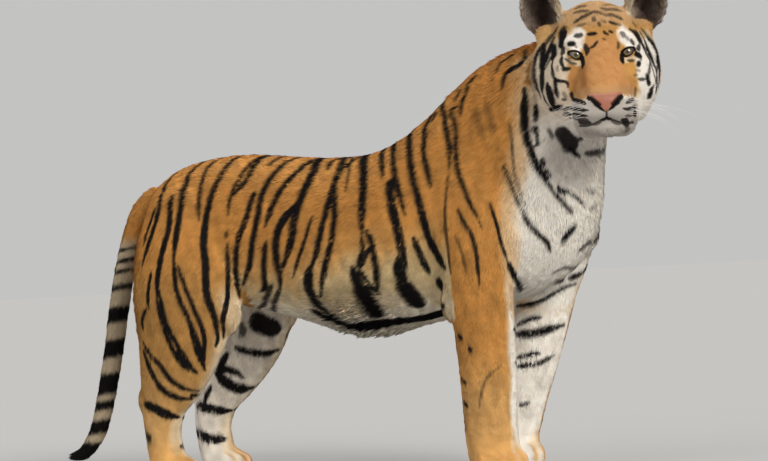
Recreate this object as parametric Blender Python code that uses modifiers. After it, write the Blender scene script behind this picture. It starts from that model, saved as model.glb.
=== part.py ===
"""A life-size standing Bengal tiger, head turned to its right, as one set of named solids.

Metres, +Z up. The body heads along +X, its left side is +Y and the paws stand on z = 0.
The whole body is first modelled in one piece from lofts and ellipsoids, fused by a voxel remesh,
smoothed and thinned. It is then parted into head, neck, trunk, tail lengths and leg parts by
thin cuts. Ears and eyes are pieces of their own.
"""

import math

import bmesh
import bpy
import numpy as np
from mathutils import Matrix, Vector

# Driving dimensions
GAP = 0.0003  # clearance between touching solids
VOXEL = 0.0075  # grid of the remesh that fuses the body
SMOOTHING_ROUNDS = 5
BODY_TRIANGLES = 4700
RING_POINTS = 28  # points round each loft section
STEPS_PER_SPAN = 4  # rings between two neighbouring stations

# Trunk and neck: name, (spine x, z), (keel x, z), half width, sideways shift, egg shape.
# Egg shape above 0 makes the lower half of the section the wider one.
TRUNK = [
    ("tail root", (-0.712, 0.742), (-0.715, 0.680), 0.040, 0.0, 0.0),
    ("pin bones", (-0.675, 0.780), (-0.680, 0.600), 0.088, 0.0, 0.0),
    ("rump", (-0.608, 0.818), (-0.615, 0.515), 0.130, 0.0, 0.05),
    ("croup", (-0.510, 0.838), (-0.505, 0.462), 0.158, 0.0, 0.08),
    ("hips", (-0.400, 0.842), (-0.400, 0.432), 0.162, 0.0, 0.08),
    ("loin", (-0.280, 0.831), (-0.280, 0.404), 0.164, 0.0, 0.08),
    ("waist", (-0.150, 0.818), (-0.140, 0.372), 0.180, 0.0, 0.10),
    ("ribs", (-0.020, 0.820), (0.000, 0.362), 0.198, 0.0, 0.10),
    ("girth", (0.080, 0.850), (0.130, 0.374), 0.204, 0.0, 0.10),
    ("withers", (0.165, 0.900), (0.270, 0.398), 0.200, 0.0, 0.12),
    ("shoulder", (0.240, 0.958), (0.410, 0.428), 0.188, 0.0, 0.14),
    ("breast", (0.310, 1.010), (0.540, 0.490), 0.174, 0.0, 0.14),
    ("neck base", (0.382, 1.040), (0.606, 0.590), 0.156, -0.005, 0.15),
    ("neck middle", (0.455, 1.056), (0.632, 0.700), 0.140, -0.018, 0.12),
    ("neck top", (0.530, 1.066), (0.652, 0.775), 0.130, -0.040, 0.10),
    ("poll", (0.600, 1.072), (0.682, 0.815), 0.114, -0.070, 0.05),
]

# Legs from the top down: name, centre (x, y, z), half depth fore and aft, half width.
# The numbers are for the right side, where y is negative.
FORELEG = [
    ("shoulder blade", (0.235, -0.088, 0.810), 0.060, 0.036),
    ("shoulder", (0.318, -0.132, 0.710), 0.122, 0.066),
    ("upper arm", (0.352, -0.146, 0.590), 0.120, 0.078),
    ("elbow", (0.364, -0.148, 0.470), 0.092, 0.070),
    ("forearm", (0.368, -0.144, 0.370), 0.083, 0.066),
    ("lower forearm", (0.367, -0.138, 0.260), 0.078, 0.061),
    ("wrist", (0.364, -0.134, 0.160), 0.074, 0.058),
    ("hand", (0.366, -0.134, 0.090), 0.070, 0.060),
    ("palm", (0.372, -0.136, 0.040), 0.066, 0.062),
]
HINDLEG = [
    ("hip", (-0.535, -0.105, 0.720), 0.115, 0.058),
    ("thigh", (-0.540, -0.128, 0.600), 0.146, 0.074),
    ("lower thigh", (-0.535, -0.138, 0.490), 0.158, 0.076),
    ("stifle", (-0.548, -0.140, 0.405), 0.146, 0.069),
    ("gaskin", (-0.574, -0.138, 0.325), 0.124, 0.059),
    ("above the hock", (-0.604, -0.135, 0.255), 0.096, 0.050),
    ("hock", (-0.628, -0.133, 0.195), 0.068, 0.044),
    ("cannon", (-0.636, -0.131, 0.130), 0.054, 0.041),
    ("pastern", (-0.628, -0.130, 0.070), 0.052, 0.046),
    ("foot", (-0.618, -0.130, 0.030), 0.052, 0.048),
]
# The left legs stand otherwise: x moved at the top and at the foot, and the z between.
LEFT_STANCE = {"fore": (0.055, -0.104, 0.600, 0.080), "hind": (0.0, -0.028, 0.420, 0.150)}

TAIL = [  # centre (x, y, z), radius
    ((-0.630, 0.0, 0.735), 0.036),
    ((-0.705, 0.0, 0.738), 0.039),
    ((-0.755, 0.0, 0.703), 0.036),
    ((-0.790, 0.0, 0.645), 0.033),
    ((-0.823, 0.0, 0.565), 0.031),
    ((-0.850, 0.0, 0.475), 0.030),
    ((-0.880, 0.0, 0.346), 0.029),
    ((-0.914, 0.0, 0.225), 0.028),
    ((-0.948, 0.0, 0.132), 0.026),
    ((-0.996, 0.0, 0.076), 0.022),
    ((-1.046, 0.0, 0.064), 0.014),
]

# Paws: centre of the pad, heading in degrees from +X, width, length and toe height
PAWS = {
    "forepaw_right": ((0.386, -0.146), -42.0, 0.136, 0.165, 0.082),
    "forepaw_left": ((0.276, 0.118), -42.0, 0.136, 0.165, 0.082),
    "hindpaw_right": ((-0.600, -0.133), -10.0, 0.116, 0.150, 0.068),
    "hindpaw_left": ((-0.628, 0.126), 2.0, 0.116, 0.150, 0.068),
}
TOES = [(-0.36, 0.20), (-0.13, 0.31), (0.13, 0.31), (0.36, 0.20)]  # across, ahead
SOLE_DEPTH = 0.006  # how much of a rounded pad is cut off to make its flat

# The head has its own frame: u to the tiger's left, v up, w out of the face.
# Its origin is midway between the eyes.
EYE_LINE = Vector((0.752, -0.162, 1.008))
FACE_HEADING = math.radians(-59.5)  # the face looks to the right of the body's heading
EYE_SPACING = 0.122
EYE_RADIUS = 0.0195
EYE_DEPTH = -0.010  # w of the eyeball's centre
RUFF_LAG = 0.10  # the loose ruff trails behind the turned face: u per w behind the eyes

# Skull and muzzle from back to front: name, w, top v, bottom v, half width, egg shape
SKULL = [
    ("back of skull", -0.205, 0.075, -0.140, 0.080, 0.0),
    ("poll", -0.165, 0.118, -0.175, 0.112, 0.0),
    ("crown", -0.110, 0.139, -0.195, 0.132, 0.0),
    ("forehead", -0.060, 0.125, -0.202, 0.128, 0.03),
    ("brow", -0.022, 0.086, -0.204, 0.108, 0.10),
    ("between the eyes", 0.008, 0.040, -0.200, 0.080, 0.22),
    ("bridge", 0.040, 0.004, -0.192, 0.060, 0.28),
]
BRIDGE = [  # the nose's own ridge: w, top v, bottom v, half width
    ("root", -0.030, 0.068, -0.060, 0.050),
    ("upper", 0.015, 0.030, -0.085, 0.044),
    ("middle", 0.055, -0.018, -0.110, 0.043),
    ("lower", 0.095, -0.062, -0.130, 0.043),
    ("nose pad", 0.122, -0.090, -0.140, 0.040),
    ("nose tip", 0.138, -0.104, -0.138, 0.029),
]
# Masses of the head: centre (u, v, w), radii; a centre off the middle is mirrored.
HEAD_MASSES = {
    "cheekbone": ((0.074, -0.034, -0.050), (0.052, 0.044, 0.062)),
    "cheek": ((0.072, -0.080, -0.055), (0.064, 0.080, 0.082)),
    "cheek back": ((0.086, -0.068, -0.088), (0.068, 0.092, 0.070)),
    "ruff": ((0.108, -0.042, -0.116), (0.058, 0.100, 0.048)),
    "ruff tip": ((0.086, -0.108, -0.104), (0.052, 0.068, 0.056)),
    "ear root": ((0.110, 0.054, -0.126), (0.036, 0.036, 0.034)),
    "brow ridge": ((0.054, 0.032, -0.026), (0.038, 0.020, 0.028)),
    "eye surround": ((0.061, 0.0, -0.014), (0.032, 0.025, 0.020)),
    "muzzle side": ((0.034, -0.084, 0.034), (0.037, 0.056, 0.052)),
    "whisker pad": ((0.036, -0.136, 0.084), (0.038, 0.032, 0.050)),
    "pad corner": ((0.050, -0.142, 0.042), (0.034, 0.034, 0.054)),
    "nose wing": ((0.021, -0.116, 0.118), (0.020, 0.018, 0.018)),
    "upper lip": ((0.015, -0.142, 0.113), (0.024, 0.018, 0.022)),
    "chin": ((0.0, -0.180, 0.078), (0.041, 0.026, 0.038)),
    "jaw": ((0.036, -0.170, 0.014), (0.042, 0.036, 0.090)),
}
EAR_BASE = Vector((0.104, 0.067, -0.105))  # u, v, w of the left ear's foot
EAR_WIDTH, EAR_HEIGHT, EAR_DEPTH = 0.098, 0.130, 0.052
EAR_WALL = 0.007
EAR_LEAN, EAR_TURN = math.radians(30.0), math.radians(32.0)  # outward tilt and turn

# Muscle and bone that stand out of the lofts: centre, radii, pitch in degrees
BODY_MASSES = {
    "haunch": ("hind", (-0.545, -0.112, 0.645), (0.130, 0.066, 0.125), 0.0),
    "stifle": ("hind", (-0.440, -0.130, 0.435), (0.072, 0.056, 0.068), 30.0),
    "buttock": ("hind", (-0.625, -0.088, 0.590), (0.070, 0.060, 0.115), 0.0),
    "heel": ("hind", (-0.682, -0.133, 0.218), (0.026, 0.025, 0.045), 0.0),
    "shoulder blade": ("fore", (0.255, -0.112, 0.740), (0.080, 0.064, 0.160), 22.0),
    "shoulder point": ("fore", (0.430, -0.120, 0.600), (0.072, 0.062, 0.085), 0.0),
    "elbow point": ("fore", (0.298, -0.150, 0.440), (0.040, 0.048, 0.060), 0.0),
}

MATERIALS = {  # slot: colour, roughness
    "coat": ((0.55, 0.27, 0.08), 0.7),
    "ear_coat": ((0.09, 0.07, 0.05), 0.7),
    "eye": ((0.45, 0.33, 0.10), 0.15),
}


def head_matrix():
    """From the head's u, v, w to the body's frame."""
    w = Vector((math.cos(FACE_HEADING), math.sin(FACE_HEADING), 0.0))
    v = Vector((0.0, 0.0, 1.0))
    u = v.cross(w)
    matrix = Matrix((u, v, w)).transposed().to_4x4()
    matrix.translation = EYE_LINE
    return matrix


def clear_scene():
    for obj in list(bpy.data.objects):
        bpy.data.objects.remove(obj, do_unlink=True)


def new_collection(name, hidden=False):
    made = bpy.data.collections.new(name)
    bpy.context.scene.collection.children.link(made)
    made.hide_render = hidden
    return made


def new_object(name, mesh, collection):
    obj = bpy.data.objects.new(name, mesh)
    collection.objects.link(obj)
    return obj


def material(slot):
    found = bpy.data.materials.get(slot)
    if found:
        return found
    colour, roughness = MATERIALS[slot]
    made = bpy.data.materials.new(slot)
    made.use_nodes = True
    shader = made.node_tree.nodes["Principled BSDF"]
    shader.inputs["Base Color"].default_value = (*colour, 1.0)
    shader.inputs["Roughness"].default_value = roughness
    return made


def between(stations, steps=STEPS_PER_SPAN):
    """Rows of numbers on a smooth curve through the given rows, ends included."""
    rows = np.array(stations, float)
    padded = np.vstack([2 * rows[0] - rows[1], rows, 2 * rows[-1] - rows[-2]])
    found = []
    for i in range(1, len(padded) - 2):
        before, start, end, after = padded[i - 1 : i + 3]
        for step in range(steps):
            t = step / steps
            found.append(
                0.5
                * (
                    2 * start
                    + (end - before) * t
                    + (2 * before - 5 * start + 4 * end - after) * t**2
                    + (3 * start - before - 3 * end + after) * t**3
                )
            )
    found.append(rows[-1])
    return found


def loft(bm, rings):
    """A closed skin over rings of equal length, with a fan at each end."""
    made = [[bm.verts.new(point) for point in ring] for ring in rings]
    count = len(made[0])
    for first, second in zip(made, made[1:]):
        for i in range(count):
            j = (i + 1) % count
            bm.faces.new((first[i], first[j], second[j], second[i]))
    bm.faces.new(made[0][::-1])
    bm.faces.new(made[-1])


def oval(centre, across, upward, egg=0.0):
    """Points round a section. Egg above 0 widens the side away from upward."""
    ring = []
    for i in range(RING_POINTS):
        angle = 2 * math.pi * i / RING_POINTS
        side, rise = math.sin(angle), math.cos(angle)
        ring.append(centre + across * side * (1 - egg * rise) + upward * rise)
    return ring


def add_trunk(bm):
    rows = [(*spine, *keel, width, shift, egg) for _, spine, keel, width, shift, egg in TRUNK]
    rings = []
    for sx, sz, kx, kz, width, shift, egg in between(rows):
        spine, keel = Vector((sx, shift, sz)), Vector((kx, shift, kz))
        rings.append(oval((spine + keel) / 2, Vector((0, width, 0)), (spine - keel) / 2, egg))
    loft(bm, rings)


def stance(limb, side, z):
    """How far a point of a leg is moved along x by the stance of that leg."""
    if side < 0:
        return 0.0
    top_move, foot_move, top_z, foot_z = LEFT_STANCE[limb]
    share = min(max((top_z - z) / (top_z - foot_z), 0.0), 1.0)
    return top_move + (foot_move - top_move) * share


def add_limb(bm, limb, stations, side):
    """A leg whose sections lie across its own line. side is -1 for the right leg."""
    rows = []
    for _, (x, y, z), depth, width in stations:
        rows.append((x + stance(limb, side, z), -side * y, z, depth, width))
    rows = between(rows)
    rings = []
    for i, (x, y, z, depth, width) in enumerate(rows):
        ahead, behind = rows[min(i + 1, len(rows) - 1)], rows[max(i - 1, 0)]
        along = Vector(ahead[:3]) - Vector(behind[:3])
        fore = Vector((0, 1, 0)).cross(along).normalized()
        if fore.x < 0:
            fore = -fore
        rings.append(oval(Vector((x, y, z)), Vector((0, width, 0)), fore * depth))
    loft(bm, rings)


def add_tail(bm):
    rows = between([(*centre, radius) for centre, radius in TAIL])
    rings = []
    for i, (x, y, z, radius) in enumerate(rows):
        ahead, behind = rows[min(i + 1, len(rows) - 1)], rows[max(i - 1, 0)]
        along = (Vector(ahead[:3]) - Vector(behind[:3])).normalized()
        across = Vector((0, 1, 0))
        rings.append(oval(Vector((x, y, z)), across * radius, along.cross(across) * radius))
    loft(bm, rings)


def add_ellipsoid(bm, matrix, centre, radii, detail=(20, 14)):
    place = matrix @ Matrix.Translation(centre) @ Matrix.Diagonal((*radii, 1.0))
    bmesh.ops.create_uvsphere(
        bm, u_segments=detail[0], v_segments=detail[1], radius=1.0, matrix=place
    )


def add_paw(bm, pad, heading, width, length, toe_height):
    """Heel pad, four toes and the knuckles over them, rounded below z = 0."""
    turn = Matrix.Translation((*pad, 0.0)) @ Matrix.Rotation(math.radians(heading), 4, "Z")
    heel = (0.34 * length, 0.44 * width, 0.5 * toe_height + SOLE_DEPTH)
    add_ellipsoid(bm, turn, (-0.08 * length, 0, 0.5 * toe_height - SOLE_DEPTH), heel)
    for across, ahead in TOES:
        place = (ahead * length, across * width, 0.40 * toe_height)
        size = (0.21 * length, 0.150 * width, 0.40 * toe_height + SOLE_DEPTH)
        add_ellipsoid(bm, turn, place, size)
        knuckle = ((ahead - 0.13) * length, across * 0.92 * width, 0.64 * toe_height)
        add_ellipsoid(bm, turn, knuckle, (0.18 * length, 0.135 * width, 0.38 * toe_height))


def ruff_lag(w):
    return RUFF_LAG * min(w, 0.0)


def add_head(bm):
    frame = head_matrix()
    rings = []
    for w, top, bottom, width, egg in between([row[1:] for row in SKULL]):
        middle = Vector((ruff_lag(w), (top + bottom) / 2, w))
        ring = oval(middle, Vector((width, 0, 0)), Vector((0, (top - bottom) / 2, 0)), egg)
        rings.append([frame @ point for point in ring])
    loft(bm, rings)
    rings = []
    for w, top, bottom, width in between([row[1:] for row in BRIDGE]):
        middle = Vector((0, (top + bottom) / 2, w))
        ring = oval(middle, Vector((width, 0, 0)), Vector((0, (top - bottom) / 2, 0)))
        rings.append([frame @ point for point in ring])
    loft(bm, rings)
    for (u, v, w), radii in HEAD_MASSES.values():
        for side in (1, -1) if u else (1,):
            add_ellipsoid(bm, frame, (side * u + ruff_lag(w), v, w), radii)


def whole_body(collection):
    """One closed, smoothed and thinned mesh of all the flesh but the ears."""
    bm = bmesh.new()
    add_trunk(bm)
    add_tail(bm)
    add_head(bm)
    for side in (-1, 1):
        add_limb(bm, "fore", FORELEG, side)
        add_limb(bm, "hind", HINDLEG, side)
        for limb, (x, y, z), radii, pitch in BODY_MASSES.values():
            place = Matrix.Translation((x + stance(limb, side, z), -side * y, z))
            tilt = Matrix.Rotation(math.radians(pitch), 4, "Y")
            add_ellipsoid(bm, place @ tilt, (0, 0, 0), radii)
    for pad, heading, width, length, height in PAWS.values():
        add_paw(bm, pad, heading, width, length, height)
    bmesh.ops.triangulate(bm, faces=bm.faces)
    bmesh.ops.recalc_face_normals(bm, faces=bm.faces)
    mesh = bpy.data.meshes.new("flesh")
    bm.to_mesh(mesh)
    bm.free()
    flesh = new_object("flesh", mesh, collection)
    fuse = flesh.modifiers.new("fuse", "REMESH")
    fuse.mode = "VOXEL"
    fuse.voxel_size = VOXEL
    soften = flesh.modifiers.new("soften", "SMOOTH")
    soften.factor = 0.5
    soften.iterations = SMOOTHING_ROUNDS
    flat = flesh.modifiers.new("triangles", "TRIANGULATE")
    flat.min_vertices = 4
    evaluated = evaluated_mesh(flesh)
    thin = flesh.modifiers.new("thin", "DECIMATE")
    thin.ratio = BODY_TRIANGLES / len(evaluated.polygons)
    return bake(flesh)


def evaluated_mesh(obj):
    bpy.context.view_layer.update()
    graph = bpy.context.evaluated_depsgraph_get()
    return bpy.data.meshes.new_from_object(obj.evaluated_get(graph))


def bake(obj):
    """Replaces the object's mesh by what its modifiers make of it."""
    mesh = evaluated_mesh(obj)
    obj.modifiers.clear()
    obj.data = mesh
    return obj


def boolean(obj, cutter, operation):
    step = obj.modifiers.new(operation.lower(), "BOOLEAN")
    step.operation = operation
    step.object = cutter
    step.solver = "EXACT"
    return bake(obj)


def block(name, planes, grow, collection):
    """A large cube kept behind each plane (point, outward normal), as a cutter."""
    bm = bmesh.new()
    bmesh.ops.create_cube(bm, size=6.0)
    for point, normal in planes:
        normal = Vector(normal).normalized()
        cut = bmesh.ops.bisect_plane(
            bm,
            geom=bm.verts[:] + bm.edges[:] + bm.faces[:],
            plane_co=Vector(point) + normal * grow,
            plane_no=normal,
            clear_outer=True,
        )
        rim = [item for item in cut["geom_cut"] if isinstance(item, bmesh.types.BMEdge)]
        bmesh.ops.edgeloop_fill(bm, edges=rim)
    bmesh.ops.recalc_face_normals(bm, faces=bm.faces)
    mesh = bpy.data.meshes.new(name)
    bm.to_mesh(mesh)
    bm.free()
    cutter = new_object(name, mesh, collection)
    cutter.hide_render = True
    cutter.display_type = "WIRE"
    return cutter


def carve(rest, name, planes, parts, cutters):
    """Takes the part behind the planes out of rest and returns it as its own object."""
    piece = new_object(name, rest.data.copy(), parts)
    boolean(piece, block(name + " region", planes, 0.0, cutters), "INTERSECT")
    boolean(rest, block(name + " clearance", planes, GAP, cutters), "DIFFERENCE")
    return piece


def leg_planes():
    """The regions of the leg parts, in the order in which they are carved."""
    regions = {}
    for name, side in (("right", -1), ("left", 1)):
        middle = ((0, 0, 0), (0, -side, 0))
        fore, hind = ((0.18, 0, 0), (-1, 0, 0)), ((-0.32, 0, 0), (1, 0, 0))
        regions["forepaw_" + name] = [middle, fore, ((0, 0, 0.125), (0, 0, 1))]
        inside = ((0, side * 0.062, 0), (0, -side, 0))
        behind = ((0.225, 0, 0.395), (-1, 0, 0.30))
        regions["forearm_" + name] = [inside, behind, ((0, 0, 0.395), (0, 0, 1))]
        regions["upper_arm_" + name] = [
            ((0.0, 0.0, 0.360), (0, 0, -1)),
            ((0.0, side * 0.070, 0.395), (0, -side, 0.42)),
            ((0.200, 0, 0.50), (-1, 0, -0.25)),
            ((0.490, 0, 0.50), (1, 0, 0.30)),
            ((0.300, 0, 0.770), (0.30, 0, 1)),
        ]
        regions["hindpaw_" + name] = [middle, hind, ((-0.65, 0, 0.195), (0.25, 0, 1))]
        regions["shank_" + name] = [middle, hind, ((-0.55, 0, 0.400), (0.10, 0, 1))]
        regions["thigh_" + name] = [
            ((0.0, 0.0, 0.360), (0, 0, -1)),
            ((0.0, side * 0.045, 0.430), (0, -side, 0.42)),
            ((-0.350, 0, 0.45), (1, 0, 0.35)),
            ((-0.560, 0, 0.760), (0.10, 0, 1)),
        ]
    return regions


def part_body(flesh, parts, cutters):
    """Parts the flesh into its named solids by thin cuts."""
    floor = block("floor", [((0, 0, 0), (0, 0, 1))], 0.0, cutters)
    boolean(flesh, floor, "DIFFERENCE")
    regions = {
        "tail_tip": [((-0.918, 0, 0.270), (0.28, 0, 1)), ((-0.80, 0, 0), (1, 0, 0))],
        "tail_middle": [((-0.848, 0, 0.545), (0.25, 0, 1)), ((-0.775, 0, 0), (1, 0, 0))],
        "tail_base": [((-0.765, 0, 0.72), (1, 0, -0.45))],
        "head": [((0.618, -0.012, 0.95), (-0.78, 0.45, -0.10))],
        "neck": [((0.245, 0, 0.980), (-0.80, 0, -0.60))],
        **leg_planes(),
    }
    for name, planes in regions.items():
        carve(flesh, name, planes, parts, cutters)
    flesh.name = "trunk"
    parts.objects.link(flesh)


def add_eyes(head, parts, cutters):
    frame = head_matrix()
    for name, side in (("left", 1), ("right", -1)):
        centre = (side * EYE_SPACING / 2, 0.0, EYE_DEPTH)
        for role, radius in (("eye_", EYE_RADIUS), ("socket_", EYE_RADIUS + GAP)):
            bm = bmesh.new()
            add_ellipsoid(bm, frame, centre, (radius,) * 3, detail=(14, 8))
            mesh = bpy.data.meshes.new(role + name)
            bm.to_mesh(mesh)
            bm.free()
            if role == "eye_":
                new_object(role + name, mesh, parts)
            else:
                socket = new_object(role + name, mesh, cutters)
                socket.hide_render = True
                boolean(head, socket, "DIFFERENCE")


def add_ear(side, head, parts, cutters):
    """A cupped shell: the rear half of an ellipsoid, thickened, its foot cut by the head."""
    bm = bmesh.new()
    bmesh.ops.create_uvsphere(bm, u_segments=14, v_segments=8, radius=1.0)
    bmesh.ops.bisect_plane(
        bm,
        geom=bm.verts[:] + bm.edges[:] + bm.faces[:],
        plane_co=(0, 0, 0.12),
        plane_no=(0, 0, 1),
        clear_outer=True,
    )
    for vert in bm.verts:
        narrowing = 1.0 - 0.22 * (vert.co.y - 0.1) ** 2  # rounder at the tip
        vert.co.x *= narrowing * EAR_WIDTH / 2
        vert.co.y *= EAR_HEIGHT / 2
        vert.co.z *= EAR_DEPTH
    lean = Matrix.Rotation(-side * EAR_LEAN, 4, "Z")
    turn = Matrix.Rotation(side * EAR_TURN, 4, "Y")
    across = side * EAR_BASE[0] + ruff_lag(EAR_BASE[2])
    foot = Matrix.Translation((across, EAR_BASE[1], EAR_BASE[2]))
    rise = Matrix.Translation((0, 0.34 * EAR_HEIGHT, 0))
    bm.transform(head_matrix() @ foot @ lean @ rise @ turn)
    mesh = bpy.data.meshes.new("ear")
    bm.to_mesh(mesh)
    bm.free()
    ear = new_object("ear_left" if side > 0 else "ear_right", mesh, parts)
    wall = ear.modifiers.new("wall", "SOLIDIFY")
    wall.thickness = EAR_WALL
    wall.offset = 0.0
    bake(ear)
    clearance = new_object("head clearance", head.data.copy(), cutters)
    clearance.hide_render = True
    grow = clearance.modifiers.new("grow", "DISPLACE")
    grow.strength = GAP
    grow.mid_level = 0.0
    bake(clearance)
    boolean(ear, clearance, "DIFFERENCE")
    keep_largest(ear)


def keep_largest(obj):
    """Drops crumbs that a cut leaves beside the main body."""
    bm = bmesh.new()
    bm.from_mesh(obj.data)
    left, islands = set(bm.verts), []
    while left:
        stack, island = [left.pop()], set()
        while stack:
            vert = stack.pop()
            island.add(vert)
            for edge in vert.link_edges:
                other = edge.other_vert(vert)
                if other in left:
                    left.discard(other)
                    stack.append(other)
        islands.append(island)
    islands.sort(key=len, reverse=True)
    bmesh.ops.delete(bm, geom=[v for small in islands[1:] for v in small], context="VERTS")
    bm.to_mesh(obj.data)
    bm.free()


def centre_on_floor(parts):
    """Moves the origin under the middle of the animal's box, on the floor."""
    points = [vert.co for obj in parts.objects for vert in obj.data.vertices]
    low = [min(p[axis] for p in points) for axis in range(3)]
    high = [max(p[axis] for p in points) for axis in range(3)]
    shift = Matrix.Translation((-(low[0] + high[0]) / 2, -(low[1] + high[1]) / 2, -low[2]))
    for obj in parts.objects:
        obj.data.transform(shift)
    return shift.translation


def main():
    clear_scene()
    parts = new_collection("tiger")
    cutters = new_collection("cutters", hidden=True)
    flesh = whole_body(cutters)
    part_body(flesh, parts, cutters)
    cutters.objects.unlink(flesh)
    head = bpy.data.objects["head"]
    for side in (1, -1):
        add_ear(side, head, parts, cutters)
    add_eyes(head, parts, cutters)
    for obj in parts.objects:
        slot = "eye" if obj.name.startswith("eye") else "ear_coat" if "ear_" in obj.name else "coat"
        obj.data.materials.clear()
        obj.data.materials.append(material(slot))
        obj.data.shade_smooth()
    centre_on_floor(parts)


main()
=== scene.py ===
"""A life-size Bengal tiger: one skin over the parts of the body, a coat of tufts, eyes and whiskers."""

import math

import bmesh
import bpy
import numpy as np
from mathutils import Matrix, Vector
from mathutils.bvhtree import BVHTree
from mathutils.kdtree import KDTree


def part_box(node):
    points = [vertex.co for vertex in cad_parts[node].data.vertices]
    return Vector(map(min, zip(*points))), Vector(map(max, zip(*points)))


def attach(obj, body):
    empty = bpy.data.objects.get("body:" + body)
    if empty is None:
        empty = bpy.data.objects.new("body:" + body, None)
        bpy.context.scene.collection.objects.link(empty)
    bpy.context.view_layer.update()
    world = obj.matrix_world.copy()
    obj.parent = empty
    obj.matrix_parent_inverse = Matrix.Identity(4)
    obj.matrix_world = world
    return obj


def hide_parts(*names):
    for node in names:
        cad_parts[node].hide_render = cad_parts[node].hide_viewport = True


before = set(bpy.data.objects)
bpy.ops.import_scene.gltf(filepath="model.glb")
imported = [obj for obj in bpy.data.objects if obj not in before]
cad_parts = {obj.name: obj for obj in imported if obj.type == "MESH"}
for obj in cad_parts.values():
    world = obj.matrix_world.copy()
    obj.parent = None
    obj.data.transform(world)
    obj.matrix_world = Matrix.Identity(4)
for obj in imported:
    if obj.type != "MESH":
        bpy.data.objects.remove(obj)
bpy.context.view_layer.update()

FLESH = sorted(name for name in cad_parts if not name.startswith("eye"))
EYES = ("eye_left", "eye_right")
VOXEL = 0.0045  # grid of the remesh that joins the parts of the body
EAR_THICKENING = 0.0012  # so that the remesh doesn't lose the thin ears
BODY_SHARE = 0.27  # how much of the remesh's fineness the body keeps
MM = 0.001
WAVES, WAVE_SUM = 7, 3.2  # waves in each smooth noise, and what their sum is divided by
rng = np.random.default_rng(7)


def lerp(a, b, t):
    a, b = np.asarray(a, float), np.asarray(b, float)
    return a + (b - a) * t


def ramp(low, high, value):
    """0 below low, 1 above high and a smooth step between; low may also be the greater one."""
    t = np.clip((value - low) / (high - low), 0.0, 1.0)
    return t * t * (3 - 2 * t)


def bell(distance, width):
    return np.exp(-((distance / width) ** 2))


def unit(vectors):
    vectors = np.asarray(vectors, float)
    return vectors / np.maximum(np.linalg.norm(vectors, axis=-1, keepdims=True), 1e-9)


def ripple(points, size, seed):
    """Smooth noise, mostly from -1 to 1, whose waves are about size metres long."""
    dice = np.random.default_rng(seed)
    total = np.zeros(len(points))
    for _ in range(WAVES):
        wave = unit(dice.normal(size=3)) * (2 * math.pi / size) * dice.uniform(0.6, 1.7)
        total += np.sin(points @ wave + dice.uniform(0, 6.28))
    return total / WAVE_SUM


def linear(colour):
    """A colour given as on screen, 0 to 255, as linear light."""
    share = np.asarray(colour, float) / 255
    return np.where(share <= 0.04045, share / 12.92, ((share + 0.055) / 1.055) ** 2.4)


class Mix:
    """Rows of values, one for each point, that each blend replaces by as much as its weight."""

    def __init__(self, start, count):
        self.rows = np.tile(np.asarray(start, float), (count, 1))

    def blend(self, target, weight):
        weight = np.clip(np.broadcast_to(weight, (len(self.rows),)), 0, 1)[:, None]
        self.rows = self.rows * (1 - weight) + np.asarray(target, float) * weight


# ---- head frame
def head_frame():
    """Origin and axes (u to the left eye, v up, w out of the face) from the two eyes."""
    left = sum(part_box("eye_left"), Vector()) / 2
    right = sum(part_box("eye_right"), Vector()) / 2
    u = (left - right).normalized()
    w = u.cross(Vector((0, 0, 1))).normalized()
    v = w.cross(u)
    return np.array((left + right) / 2), np.array((u, v, w)), (left - right).length


HEAD_ORIGIN, HEAD_AXES, EYE_SPACING = head_frame()
EYE_RADIUS = (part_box("eye_left")[1].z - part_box("eye_left")[0].z) / 2
MIDDLE_Y = sum(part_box("trunk"), Vector()).y / 2  # the body's middle plane
VIEW_LAG = 0.044  # strokes behind the eyes are drawn along the view, which is turned this much from w


def to_head(points):
    return (points - HEAD_ORIGIN) @ HEAD_AXES.T


def from_head(points):
    return points @ HEAD_AXES + HEAD_ORIGIN


def face_plane(points):
    """u and v of head points as the face strokes see them."""
    q = to_head(points)
    return np.stack((q[:, 0] + VIEW_LAG * np.minimum(q[:, 2], 0.0), q[:, 1]), 1), q


# ---- mesh arrays
def read_rows(items, attribute, width, kind):
    """One attribute of a mesh's elements, as an array with a row for each element."""
    values = np.empty(len(items) * width, kind)
    items.foreach_get(attribute, values)
    return values.reshape(-1, width)


def read_points(mesh):
    return read_rows(mesh.vertices, "co", 3, np.float32).astype(float)


def read_normals(mesh):
    return read_rows(mesh.vertices, "normal", 3, np.float32).astype(float)


def read_triangles(mesh):
    mesh.calc_loop_triangles()
    return read_rows(mesh.loop_triangles, "vertices", 3, np.int32)


def read_edges(mesh):
    return read_rows(mesh.edges, "vertices", 2, np.int32)


def write_points(mesh, points):
    mesh.vertices.foreach_set("co", points.astype(np.float32).ravel())
    mesh.update()


def spread(values, edges, rounds, amount=0.5):
    """Laplacian smoothing of values at the vertices. amount may differ by vertex."""
    count = len(values)
    degree = np.maximum(np.bincount(edges.ravel(), minlength=count), 1).astype(float)
    flat = values.reshape(count, -1).astype(float)
    share = np.broadcast_to(np.asarray(amount, float).reshape(-1, 1), (count, 1))
    for _ in range(rounds):
        mean = np.empty_like(flat)
        for column in range(flat.shape[1]):
            total = np.bincount(edges[:, 0], flat[edges[:, 1], column], count)
            total += np.bincount(edges[:, 1], flat[edges[:, 0], column], count)
            mean[:, column] = total / degree
        flat = flat + share * (mean - flat)
    return flat.reshape(values.shape)


def new_object(name, mesh):
    obj = bpy.data.objects.new(name, mesh)
    bpy.context.scene.collection.objects.link(obj)
    return obj


def evaluated(obj):
    bpy.context.view_layer.update()
    graph = bpy.context.evaluated_depsgraph_get()
    return bpy.data.meshes.new_from_object(obj.evaluated_get(graph))


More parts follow.
